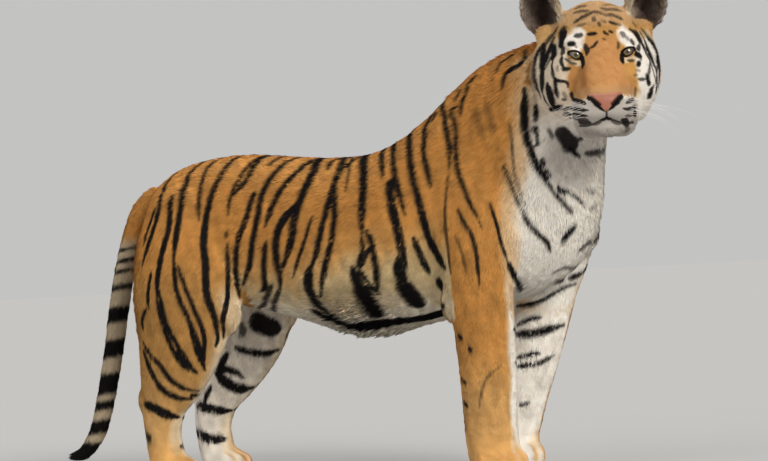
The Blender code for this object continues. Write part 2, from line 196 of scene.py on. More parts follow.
# ---- parts of the body
def joined_solids():
    """All the solids as one mesh, the thin ears slightly thickened, the eyes filling their sockets."""
    bm = bmesh.new()
    for name in [*FLESH, *EYES]:
        start = len(bm.verts)
        bm.from_mesh(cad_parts[name].data)
        bm.verts.ensure_lookup_table()
        if name.startswith("ear"):
            bmesh.ops.remove_doubles(bm, verts=bm.verts[start:], dist=1e-6)
            bm.normal_update()
            bm.verts.ensure_lookup_table()
            for vert in bm.verts[start:]:
                vert.co += vert.normal * EAR_THICKENING
    mesh = bpy.data.meshes.new("flesh")
    bm.to_mesh(mesh)
    bm.free()
    return mesh


def nearest_rows(points, samples):
    """For each point the index of the nearest sample."""
    tree = KDTree(len(samples))
    for row, sample in enumerate(samples.tolist()):
        tree.insert(sample, row)
    tree.balance()
    return np.array([tree.find(point)[1] for point in points.tolist()], int)


def node_labels(points):
    """Which CAD node each point lies nearest to, as an index into FLESH."""
    samples, owners = [], []
    for index, name in enumerate(FLESH):
        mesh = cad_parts[name].data
        corners = read_points(mesh)[read_triangles(mesh)]
        for mix in ((1 / 3, 1 / 3, 1 / 3), (0.5, 0.5, 0), (0, 0.5, 0.5), (0.5, 0, 0.5)):
            samples.append(np.tensordot(np.array(mix), corners, (0, 1)))
            owners.append(np.full(len(corners), index))
    return np.concatenate(owners)[nearest_rows(points, np.concatenate(samples))]


def is_part(labels, *words):
    wanted = [i for i, name in enumerate(FLESH) if any(word in name for word in words)]
    return np.isin(labels, wanted)


def by_part(labels, table, default):
    """A value for each point from the first word of the table that its node's name holds."""
    values = np.full(len(labels), float(default))
    for word, value in reversed(table.items()):
        values[is_part(labels, word)] = value
    return values


# How far the skin lies inside the solids, which end at the tips of the coat
COAT_DEPTH_MM = {"ear_": 1.5, "paw": 2.5, "forearm": 4, "shank": 4, "upper_arm": 5, "thigh": 5,
                 "tail": 5, "neck": 8, "head": 5}
BODY_DEPTH_MM = 6
# How strongly the solids' facets are smoothed away
SMOOTHING = {"ear_": 0.03, "paw": 0.10, "head": 0.16, "tail": 0.25}
BODY_SMOOTHING = 0.5
FACET_ROUNDS, DEPTH_ROUNDS = 45, 25
SKIN_CLEARANCE = 0.0006  # the soles stay this far above the floor


def coat_depth(points, normals, labels):
    """Skin to coat tips in metres: long on the ruff, throat, chest and belly, short on the face."""
    depth = by_part(labels, COAT_DEPTH_MM, BODY_DEPTH_MM)
    q = to_head(points)
    head = is_part(labels, "head")
    face = ramp(-0.06, 0.0, q[:, 2]) * ramp(-0.21, -0.16, q[:, 1])
    ruff = ramp(0.01, -0.05, q[:, 2]) * ramp(0.06, -0.02, q[:, 1])
    depth = np.where(head, lerp(depth + 7 * ruff, 2.2, face), depth)
    under = ramp(-0.3, -0.8, normals[:, 2]) * is_part(labels, "trunk", "neck")
    return (depth + 4 * under) * MM


# ---- the face's folds
EYE_SLANT = math.radians(24)  # the inner corner is the lower one
EYE_LENGTH, LID_UP, LID_DOWN = 0.0160, 0.0052, 0.0066  # half length and heights of the opening
NOSE_TOP, NOSE_TIP, NOSE_HALF = -0.102, -0.139, 0.0385
NOSTRIL = ((0.0335, -0.107), (0.0150, -0.1255))
PHILTRUM = ((0.0, -0.139), (0.0, -0.156))
MOUTH = ((0.0, -0.156), (0.012, -0.161), (0.030, -0.1685), (0.048, -0.1715), (0.062, -0.1700))


def polyline_distance(flat, line):
    """Distance in the plane from each point to a polyline."""
    best = np.full(len(flat), 9.0)
    for a, b in zip(line[:-1], line[1:]):
        a, b = np.array(a), np.array(b)
        t = np.clip(((flat - a) @ (b - a)) / ((b - a) @ (b - a)), 0, 1)
        best = np.minimum(best, np.linalg.norm(flat - a - t[:, None] * (b - a), axis=1))
    return best


def lid_gap(q, side):
    """Signed distance from the rim of an eye's opening, negative inside it."""
    across = side * q[:, 0] - EYE_SPACING / 2
    a = across * math.cos(EYE_SLANT) + q[:, 1] * math.sin(EYE_SLANT)
    b = -across * math.sin(EYE_SLANT) + q[:, 1] * math.cos(EYE_SLANT)
    bow = np.clip(1 - (a / EYE_LENGTH) ** 2, 0, 1)
    gap = np.maximum(b - LID_UP * bow**0.75, -b - LID_DOWN * bow**0.85)
    past = np.maximum(np.abs(a) - EYE_LENGTH, 0)
    return np.where(past > 0, np.hypot(past, np.abs(b)), gap)


def eye_gap(q):
    """Signed distance from the rim of the nearer eye's opening."""
    return np.minimum(lid_gap(q, 1), lid_gap(q, -1))


def in_window(q, half, low, high, back):
    """Whether head points lie in a window of the face: |u| < half, low < v < high and w > back."""
    u, v, w = q.T
    return (np.abs(u) < half) & (v > low) & (v < high) & (w > back)


def half_face(q):
    """The face seen flat, with its right half folded over onto the left."""
    return np.stack((np.abs(q[:, 0]), q[:, 1]), 1)


def add_lids(q):
    """Draws the skin over the eyeballs and opens it along a slanted almond."""
    q = q.copy()
    for side in (1, -1):
        centre = np.array((side * EYE_SPACING / 2, 0.0, 0.0))
        offset = q - centre
        reach = np.linalg.norm(offset, axis=1)
        gap = lid_gap(q, side)
        closed = EYE_RADIUS + 0.0016 + 0.0016 * bell(gap - 0.0022, 0.0018)
        target = lerp(closed, EYE_RADIUS - 0.0070, ramp(0.0006, -0.0012, gap))
        weight = ramp(0.018, 0.0055, gap) * (offset[:, 2] > -0.012)
        change = weight * (target - reach) / np.maximum(reach, 1e-6)
        q = q + offset * change[:, None]
    return q


def face_carving(q):
    """How far the skin of the face is pushed in (negative) or out along its normal."""
    flat = half_face(q)
    over, v = flat.T
    move = -0.0062 * bell(polyline_distance(flat, NOSTRIL), 0.0034)
    move -= 0.0030 * bell(polyline_distance(flat, PHILTRUM), 0.0022)
    mouth = polyline_distance(flat, MOUTH)
    move -= 0.0050 * bell(mouth, 0.0026)
    below = np.interp(over, *zip(*MOUTH)) - v
    move += 0.0022 * ramp(-0.001, -0.006, below) * bell(below + 0.012, 0.012)
    move -= 0.0030 * ramp(0.0, 0.004, below) * ramp(0.03, 0.008, below)
    move += 0.0016 * nose_leather(q)
    move += 0.0022 * bell(np.hypot(over - 0.0355, v + 0.118), 0.007)
    move -= 0.0016 * bell(v - NOSE_TOP - 0.003, 0.0025) * (over < NOSE_HALF)
    return move * ramp(0.0, 0.03, q[:, 2])


def nose_leather(q):
    """1 on the bare leather of the nose, 0 off it."""
    over, v = half_face(q).T
    share = np.clip((NOSE_TOP - v) / (NOSE_TOP - NOSE_TIP), 0, 1)
    half = lerp(NOSE_HALF, 0.0035, share**0.85)
    inside = ramp(0.002, -0.001, over - half)
    inside = inside * ramp(NOSE_TOP + 0.0045, NOSE_TOP + 0.0015, v - 0.04 * over)
    return inside * ramp(NOSE_TIP - 0.003, NOSE_TIP, v) * (q[:, 2] > 0.08)


# ---- skin
def subdivide_where(mesh, chosen):
    bm = bmesh.new()
    bm.from_mesh(mesh)
    bm.verts.ensure_lookup_table()
    edges = [e for e in bm.edges if chosen[e.verts[0].index] and chosen[e.verts[1].index]]
    bmesh.ops.subdivide_edges(bm, edges=edges, cuts=1, use_grid_fill=True)
    bm.to_mesh(mesh)
    bm.free()


def make_skin():
    """The solids as one smooth surface, drawn in by the coat's depth, with the face's folds."""
    rough = new_object("rough", joined_solids())
    remesh = rough.modifiers.new("join", "REMESH")
    remesh.mode = "VOXEL"
    remesh.voxel_size = VOXEL
    mesh = evaluated(rough)
    bpy.data.objects.remove(rough)
    points, edges = read_points(mesh), read_edges(mesh)
    labels = node_labels(points)
    amount = spread(by_part(labels, SMOOTHING, BODY_SMOOTHING), edges, 6)
    smooth = spread(points, edges, FACET_ROUNDS, amount)
    write_points(mesh, smooth)
    normals = read_normals(mesh)
    shrunk = ((points - smooth) * normals).sum(1)
    depth = spread(coat_depth(points, normals, labels) - shrunk, edges, DEPTH_ROUNDS)
    smooth = smooth - normals * depth[:, None]
    smooth[:, 2] = np.maximum(smooth[:, 2], SKIN_CLEARANCE)
    write_points(mesh, smooth)

    q = to_head(smooth)
    face = in_window(q, 0.085, -0.195, -0.075, 0.03)
    subdivide_where(mesh, face | (eye_gap(q) < 0.022) & (q[:, 2] > -0.03))
    q = to_head(read_points(mesh))
    fine = in_window(q, 0.047, -0.175, -0.09, 0.07)
    fine |= (eye_gap(q) < 0.013) & (q[:, 2] > -0.02)
    fine |= (polyline_distance(half_face(q), MOUTH) < 0.009) & (q[:, 2] > 0.02)
    subdivide_where(mesh, fine)
    subdivide_where(mesh, lid_near(mesh))
    points, edges = read_points(mesh), read_edges(mesh)
    near = in_window(to_head(points), 0.11, -0.24, 0.08, -0.04)
    points = spread(points, edges, 4, 0.5 * near)
    write_points(mesh, points)
    points = points + read_normals(mesh) * (face_carving(to_head(points)) * near)[:, None]
    write_points(mesh, from_head(add_lids(to_head(points))))

    skin = new_object("skin", mesh)
    group = skin.vertex_groups.new(name="coarse")
    body = ~in_window(to_head(read_points(mesh)), 0.10, -0.22, 0.08, -0.03)
    group.add(np.flatnonzero(body).tolist(), 1.0, "REPLACE")
    thin = skin.modifiers.new("thin", "DECIMATE")
    thin.ratio = BODY_SHARE * body.mean() + (1 - body.mean())
    thin.vertex_group = "coarse"
    thin.use_collapse_triangulate = True
    made = evaluated(skin)
    skin.modifiers.clear()
    skin.vertex_groups.clear()
    skin.data = made
    made.name = "skin"
    made.shade_smooth()
    return skin


def lid_near(mesh):
    q = to_head(read_points(mesh))
    return (np.abs(eye_gap(q)) < 0.0045) & (q[:, 2] > -0.01)


# ---- markings
# Each stroke is (width in mm, strength, then its points in mm). Side strokes are drawn in x and z.
FLANK = (
    (11, 1, -450, 792, -427, 727, -425, 650, -427, 573),
    (9, 1, -427, 585, -418, 496, -389, 415, -383, 340, -379, 290),
    (8, 1, -415, 560, -397, 515, -370, 438, -358, 380, -370, 330, -379, 295),
    (13, 1, -386, 400, -378, 345, -378, 300),
    (8, 1, -396, 808, -383, 735, -370, 673),
    (12, 1, -327, 836, -337, 785, -350, 700, -352, 631, -341, 554, -339, 485,
     -327, 427, -330, 375, -340, 350),
    (7, 1, -273, 780, -285, 731, -285, 680),
    (7, 0.9, -287, 642, -287, 626),
    (8, 1, -287, 608, -295, 535, -300, 458, -313, 400, -323, 370),
    (11, 1, -250, 827, -251, 772, -277, 735),
    (11, 1, -216, 731, -229, 669, -250, 623, -268, 561, -283, 496, -290, 470),
    (12, 1, -162, 808, -187, 746, -193, 669, -208, 608, -227, 550, -266, 504),
    (12, 1, -104, 788, -135, 738, -158, 673, -165, 648),
    (12, 1, -164, 608, -177, 554, -193, 500, -216, 485),
    (16, 1, -77, 695, -116, 650, -133, 592, -131, 523, -143, 490),
    (9, 0.8, -167, 500, -230, 455, -275, 440),
    (9, 0.8, -140, 490, -210, 443, -235, 430),
    (10, 1, -531, 765, -500, 735, -498, 690, -516, 623, -539, 565),
    (7, 1, -512, 708, -531, 650, -539, 615),
    (11, 1, -460, 738, -452, 661, -464, 600, -479, 530, -483, 470),
    (9, 1, -483, 478, -473, 423, -458, 370, -435, 315, -400, 283),
    (9, 1, -475, 500, -457, 410, -435, 360, -413, 315, -398, 285),
    (13, 1, -438, 340, -418, 308, -402, 286),
    (8, 1, -502, 546, -516, 485, -514, 454),
    (7, 1, -525, 455, -548, 425, -547, 400),
    (10, 1, -553, 368, -530, 335, -497, 306, -477, 275, -450, 250, -415, 236),
    (11, 1, -557, 345, -543, 312, -525, 275, -503, 245, -465, 222, -425, 215),
    (9, 1, -430, 226, -405, 222),
    (16, 1, -570, 208, -535, 196, -505, 180, -470, 164, -440, 158),
    (18, 0.8, -595, 130, -570, 120),
    (17, 1, -77, 811, -58, 780, -60, 735, -72, 672, -79, 610, -100, 565, -112, 545),
    (8, 1, -25, 800, -15, 780),
    (7, 1, -16, 665, -31, 615, -58, 561, -87, 515),
    (13, 1, 0, 811, 27, 775, 30, 700, 20, 635, 5, 580, -23, 530),
    (26, 1, -22, 535, -42, 490, -32, 452, -8, 430),
    (15, 1, -18, 440, 12, 415, 30, 404),
    (14, 1, -62, 432, -20, 418, 25, 406),
    (36, 1, 20, 400, 80, 396, 150, 396, 220, 398, 290, 408, 372, 428),
    (9, 1, -630, 690, -616, 650, -604, 600, -596, 555, -590, 520),
    (12, 1, 34, 741, 53, 684, 59, 640, 51, 591, 26, 534, 0, 484, -12, 465),
    (5, 1, 26, 811, 61, 772, 80, 722),
    (17, 1, 61, 815, 103, 784, 134, 734, 146, 672, 151, 615),
    (9, 1, 151, 612, 151, 572, 130, 534),
    (12, 1, 165, 620, 180, 588, 184, 526, 169, 465),
    (7, 1, 173, 580, 150, 545, 134, 530),
    (8, 1, 134, 530, 157, 484, 169, 465),
    (30, 1, 117, 528, 123, 490, 130, 440),
    (50, 1, 125, 470, 133, 425),
    (10, 1, 123, 830, 169, 791, 198, 749),
    (11, 1, 161, 838, 200, 811, 230, 761, 261, 703, 280, 657),
    (18, 1, 223, 734, 240, 676, 259, 615, 267, 557, 271, 530),
    (13, 1, 207, 865, 250, 834, 296, 741, 326, 665, 346, 595, 380, 530),
    (20, 1, 346, 595, 365, 561, 394, 518),
    (11, 1, 292, 868, 319, 807, 346, 734, 351, 718),
    (5, 1, 307, 900, 317, 890, 311, 878),
    (10, 1, 311, 934, 361, 888, 392, 834, 401, 757),
    # a faint brown line down the front of the shoulder: partly a stripe, partly painted shade along the
    # crease
    (6, 0.6, 401, 750, 407, 620, 413, 560, 413, 500),
    (30, 1, 253, 545, 248, 500, 255, 441),
    (48, 1, 249, 475, 255, 440),
    (12, 1, 303, 595, 319, 538, 326, 507),
    (34, 1, 352, 480, 358, 455),
    (8, 1, 415, 352, 422, 347),
    (9, 1, 449, 319, 449, 317),
    (7, 1, 405, 245, 417, 238),
    (7, 1, 402, 190, 415, 183, 422, 180),
    (5, 0.4, 517, 275, 487, 250, 472, 225, 462, 195, 457, 175),
)
FRONT_TURN = math.radians(50)  # front strokes are drawn looking at the chest from this way round
CHEST = (
    (7, 1, 202, 910, 190, 903, 184, 859, 175, 797, 170, 744, 173, 704, 179, 668, 190, 637, 197, 611),
    (7, 0.85, 153, 659, 162, 624, 173, 597, 179, 562, 182, 526, 185, 473),
    (5, 0.4, 142, 595, 153, 550, 160, 505),
    (7, 1, 258, 985, 241, 967, 215, 922, 201, 888),
    (6, 0.8, 246, 988, 226, 955, 205, 925),
    (6, 0.9, 160, 885, 172, 900, 190, 930),
    (8, 1, 345, 1035, 325, 1003, 305, 988, 292, 970, 284, 945),
    (5, 0.8, 330, 1030, 300, 1008, 285, 985),
    (9, 0.25, 250, 920, 250, 880, 252, 840),
    (10, 0.2, 228, 900, 229, 825),
    (13, 1, 316, 940, 310, 885, 307, 841, 314, 792, 325, 752, 345, 717, 363, 682),
    (8, 1, 360, 687, 389, 655, 411, 633),
    (6, 1, 330, 900, 328, 832, 334, 779, 349, 735, 368, 704, 390, 690),
    (6, 1, 383, 691, 407, 681, 434, 659, 446, 648),
    (5, 0.5, 448, 690, 470, 682, 482, 686),
    (5, 0.5, 463, 641, 492, 650),
    (13, 1, 389, 566, 405, 588, 420, 602),
    (6, 0.9, 440, 541, 464, 558, 487, 560),
    (6, 0.5, 380, 491, 407, 502, 455, 500, 478, 500),
    (6, 0.45, 402, 476, 436, 465, 450, 462),
    (7, 0.95, 365, 411, 389, 413, 416, 424, 438, 438, 465, 451, 500, 459),
    (7, 1, 221, 669, 232, 611, 237, 580, 246, 549, 257, 522),
    (12, 1, 256, 523, 274, 496, 290, 484),
    (8, 1, 288, 485, 301, 474, 319, 451),
    (6, 1, 259, 757, 268, 721, 279, 682, 292, 646),
    (9, 1, 291, 648, 305, 615, 327, 589, 350, 566, 361, 544),
    (4, 0.6, 281, 867, 281, 814, 279, 770, 281, 726, 292, 682, 301, 655),
)
FORELEG_INSIDE = (
    (7, 1, 415, 363, 435, 370, 455, 377, 485, 380),
    (13, 1, 412, 340, 450, 340, 475, 343, 500, 350, 520, 357, 535, 365),
    (7, 1, 410, 281, 430, 285, 455, 289, 472, 290),
    (8, 1, 412, 259, 430, 261, 465, 266, 480, 274, 495, 284),
    (6, 0.8, 405, 162, 430, 167),
)
HINDLEG_INSIDE = (
    # a broad dark blob high on the inside of each hind leg: painted shadow
    (54, 0.95, -372, 398, -345, 386),
    (12, 1, -450, 335, -420, 325, -395, 318, -370, 316, -345, 325),
    (12, 0.6, -430, 400, -420, 380, -435, 365),
    (22, 1, -520, 268, -495, 243, -468, 228, -440, 226, -415, 238, -395, 260),
    (12, 1, -520, 272, -490, 280, -460, 268, -445, 256),
    (15, 1, -600, 185, -570, 180, -540, 172, -500, 168, -470, 175),
    (9, 1, -545, 235, -565, 205, -575, 190),
    (15, 1, -615, 115, -580, 103, -545, 94, -510, 94),
    (12, 1, -480, 320, -500, 295, -520, 270),
)
# Face strokes are drawn in the head's u and v, looking straight at the face; u is to the tiger's left.
FACE = (
    (7, 0.65, -103, 73, -112, 59, -122, 50, -132, 40, -138, 29),
    (10, 1, -137, 31, -142, 17, -144, 5, -145, -8, -145, -30, -145, -55, -147, -72, -147, -82),
    (13, 1, -134, -72, -131, -87),
    (20, 1, -131, -88, -129, -99),
    (6, 0.4, -168, -38, -167, -56),
    (12, 1, -117, 29, -115, 18, -115, 5, -117, -7),
    (5, 0.85, -118, -5, -120, -24, -118, -42, -115, -52),
    (7, 1, -115, -52, -114, -65, -114, -80, -111, -92, -110, -99),
    (4, 0.3, -107, -22, -107, -36),
    (5, 0.9, -114, -56, -104, -59, -93, -61, -86, -66, -85, -76),
    (5, 0.6, -101, -103, -90, -104),
    (7, 0.35, -95, -90, -92, -97),
    (7, 0.8, -77, -89, -76, -104),
    (5, 0.9, -76, -105, -67, -109, -56, -115, -47, -121),
    (4, 0.9, -92, -122, -78, -127, -69, -131, -57, -134, -42, -136),
    (4, 0.85, -97, -133, -78, -141, -62, -146, -45, -149),
    (3.5, 0.6, -86, -147, -69, -153, -55, -155, -43, -157),
    (6.5, 1, -133, -124, -122, -122, -110, -121, -102, -118),
    (4.5, 0.6, -100, -126, -88, -128),
    (4, 0.5, -101, -139, -82, -140),
    (8, 0.75, -97, 60, -90, 66, -82, 71),
    (12, 1, -90, 55, -92, 43, -94, 33),
    (7, 0.9, -94, 36, -98, 29),
    (7, 0.75, -91, 18, -93, 8),
    (5, 0.85, -95, 0, -97, -12, -95, -21, -92, -28),
    (8, 0.9, -92, -31, -82, -31),
    (5.5, 0.6, -86, -7, -80, -12, -73, -18, -61, -21),
    # the dark tear line below the inner corner of the tiger's right eye: partly a real mark, partly painted
    # shade
    (5.5, 1, -48, -6, -46, -15, -46, -24, -48, -33),
    (7, 0.8, -38, 24, -36, 14, -34, 9, -37, -2),
    (4.5, 0.8, -27, 14, -17, 19, -12, 26, -8, 31),
    (6.5, 0.95, -30, 49, -8, 49),
    (5, 0.8, 8, 54, 11, 49, 19, 44),
    (5, 0.8, 23, 52, 27, 50),
    (4, 0.4, 4, 36, 12, 31),
    (5, 0.5, 40, 25, 41, 19, 38, 8),
    (5.5, 0.5, -3, 76, 0, 66),
    (6, 0.55, -15, 87, -14, 82),
    (8, 0.7, -57, 47, -48, 48),
    (8.5, 0.95, -75, 29, -66, 28),
    (4, 0.35, -62, 24, -58, 17),
    (4.5, 0.4, -56, 70, -45, 73, -31, 75),
    (5.5, 0.8, -61, 80, -50, 87, -40, 92, -28, 97, -16, 103),
    (5.5, 0.55, -16, 104, -3, 101, 12, 94),
    (5.5, 0.8, 12, 94, 29, 93, 38, 89, 46, 85, 54, 80),
    (5, 0.85, 22, 76, 34, 71, 41, 69),
    (5, 0.4, 41, 69, 50, 66),
    (5, 0.3, 5, 80, 16, 74),
    (5, 0.55, -61, 105, -50, 107, -35, 107, -24, 106),
    (5, 0.5, -60, 115, -45, 119, -28, 120),
    (5.5, 0.45, 3, 112, 15, 108, 37, 106, 54, 102),
    (4.5, 0.35, 8, 118, 30, 119, 46, 113),
    (6, 0.3, 77, 76, 84, 62),
    (5.5, 0.5, 96, 58, 107, 44, 119, 30, 127, 17),
    (6, 1, 129, 12, 131, -5, 131, -20, 130, -33),
    (4.5, 0.7, 130, -33, 128, -45, 126, -60),
    (5, 0.85, 125, -62, 123, -76),
    (4, 0.5, 122, -78, 116, -88),
    (8, 1, 105, 24, 107, 10, 109, 1),
    (4.5, 0.6, 110, -2, 111, -15, 112, -28, 110, -48, 107, -58),
    (7, 1, 105, -60, 106, -68, 107, -76),
    (5.5, 0.65, 83, -66, 89, -67, 99, -67),
    (8.5, 1, 114, -90, 110, -102, 103, -112),
    (12, 0.85, 85, 43, 88, 36, 91, 30),
    (7, 0.5, 52, 47, 55, 40),
    (6, 0.35, 60, 38, 67, 28),
    (5.5, 0.65, 72, 27, 77, 20),
    (5.5, 0.75, 90, 13, 87, 5),
    (9, 1, 84, -5, 89, -8),
    (4, 0.45, 92, -12, 92, -22),
    (7, 0.95, 87, -27, 85, -32),
    (6, 1, 48, -8, 47, -16, 47, -27),
    (5, 0.65, 60, -20, 67, -21, 76, -20),
    (5, 0.3, 82, -45, 86, -46),
    (5, 0.3, 75, -57, 79, -56),
    (5, 0.4, 74, -88, 72, -100, 71, -108),
    (4, 0.7, 68, -113, 57, -120, 47, -125),
    (8, 1, -41, -104, -34, -109, -25, -117, -13, -129, -3, -140),
    (8, 1, 38, -106, 33, -111, 25, -118, 13, -129, 3, -140),
    (3.5, 0.6, 0, -140, 0, -155),
    (7, 0.85, -13, -159, 0, -156, 11, -159),
    (5, 0.5, -12, -161, -20, -167, -34, -170),
    (5, 0.5, 10, -161, 22, -170, 38, -170),
    (8, 0.85, 41, -164, 48, -173),
    (5, 0.4, 50, -173, 60, -165),
    (6, 0.3, 47, -178, 47, -190),
    (10, 0.75, -60, -163, -46, -165),
    (4, 0.8, 40, -137, 50, -139, 61, -137, 72, -134),
    (6.5, 0.95, 66, -148, 69, -151),
    (4, 0.45, 45, -154, 61, -154),
    # a large dark patch under the jaw on the tiger's right: painted shadow between jaw and neck
    (26, 0.85, -106, -182, -97, -198, -91, -212),
    (8, 0.8, -90, -195, -62, -198),
    (7, 1, -96, -214, -86, -227, -71, -239),
    # a dark arc under the chin, on the throat: painted shade
    (8, 0.7, -56, -231, -39, -231, -23, -228, -10, -220),
    (8, 0.6, -141, -168, -131, -192),
)
# Strokes on the sides of the head, in w and v, and across its back, in u and v
CHEEK = (
    (10, 1, -26, 55, -36, 30, -41, -5, -38, -45, -28, -85),
    (12, 1, -58, 48, -68, 15, -70, -25, -64, -70, -50, -112),
    (10, 1, -88, 36, -97, 0, -95, -45, -84, -92),
    (6, 0.8, -46, 20, -54, -5, -55, -35),
    (7, 0.9, -8, -98, -26, -118, -44, -132),
)
CROWN_BARS = (
    (9, 1, -58, 96, -30, 104, 0, 101, 30, 105, 58, 95),
    (9, 1, -70, 66, -34, 78, 0, 72, 36, 79, 68, 64),
    (11, 1, -82, 30, -40, 46, 0, 38, 42, 47, 84, 28),
    (8, 0.9, -60, 8, -26, 18, 0, 12, 28, 19, 62, 6),
    (9, 1, 46, -18, 74, -34, 102, -30),
    (8, 0.9, 58, -52, 82, -68, 108, -62),
)
# Each band of the tail: its middle's height in metres and half its width in mm
TAIL_BANDS = ((0.612, 4), (0.583, 5), (0.555, 5), (0.512, 7), (0.440, 21), (0.349, 24), (0.254, 28),
              (0.197, 12), (0.140, 18))
TAIL_TIP = 0.100  # black below this height
VIEW_TURN = math.radians(33)  # how far round to the front of the right side the viewer stands
VIEW_AIM = (0.0904, 0.0369, 0.62)  # the point that the photograph's middle shows
EDGE = 0.0013  # softness of a stroke's edge
FRONT_SPREADING, FACE_SPREADING, BACK_SPREADING = 1.2, 1.35, 1.2  # strokes are drawn a little narrow
LIMBS = {"fore": ("forearm", "forepaw", "upper_arm"), "hind": ("thigh", "shank", "hindpaw")}
LEG_PARTS = (*LIMBS["fore"], *LIMBS["hind"])
RAY_START = 1.2  # side strokes are projected from this far off the middle plane
CARRIED_HEIGHT, CARRIED_MM = 0.70, 6  # wider strokes that begin above this height go on over the back
SPINE_LEAD, SPINE_GAP, SPINE_STEPS = 0.022, 0.004, 8  # how they lean forward, and stop short of the middle
SWAY, WOBBLE = 0.007, 0.006  # how the left flank's strokes stray from the right's


def on_curve(points, step):
    """Points every step metres along the smooth curve through the given points."""
    padded = np.vstack((2 * points[0] - points[1], points, 2 * points[-1] - points[-2]))
    out = []
    for a, b, c, d in zip(padded[:-3], padded[1:-2], padded[2:-1], padded[3:]):
        t = np.linspace(0, 1, max(2, math.ceil(np.linalg.norm(c - b) / step)), endpoint=False)[:, None]
        square, cube = (2 * a - 5 * b + 4 * c - d) * t**2, (3 * (b - c) + d - a) * t**3
        out.append(0.5 * (2 * b + (c - a) * t + square + cube))
    return np.vstack((*out, points[-1:]))


class Chart:
    """Drops drawn strokes onto chosen triangles of the skin."""

    def __init__(self, points, triangles):
        used = np.unique(triangles)
        place = np.zeros(len(points), int)
        place[used] = np.arange(len(used))
        self.tree = BVHTree.FromPolygons(points[used].tolist(), place[triangles].tolist())

    def drop(self, starts, way):
        """Where rays from the starts meet the skin, and how squarely; misses become nan."""
        hits = [self.tree.ray_cast(Vector(start), Vector(way)) for start in starts.tolist()]
        return np.array([(math.nan,) * 4 if place is None or normal.dot(Vector(way)) > 0
                         else (*place, -normal.dot(Vector(way))) for place, normal, _, _ in hits])


def strip_misses(path):
    return path[~np.isnan(path[:, 0])]


def drawn(stroke, step=0.004):
    return on_curve(np.array(stroke[2:], float).reshape(-1, 2) * MM, step)


def leg_middle(points, labels, words):
    """x of a leg's middle as a function of height."""
    chosen = points[is_part(labels, *words)]
    heights = np.linspace(0.02, 0.54, 14)
    middles = [chosen[np.abs(chosen[:, 2] - height) < 0.03, 0].mean() for height in heights]
    return lambda z: np.interp(z, heights, middles)


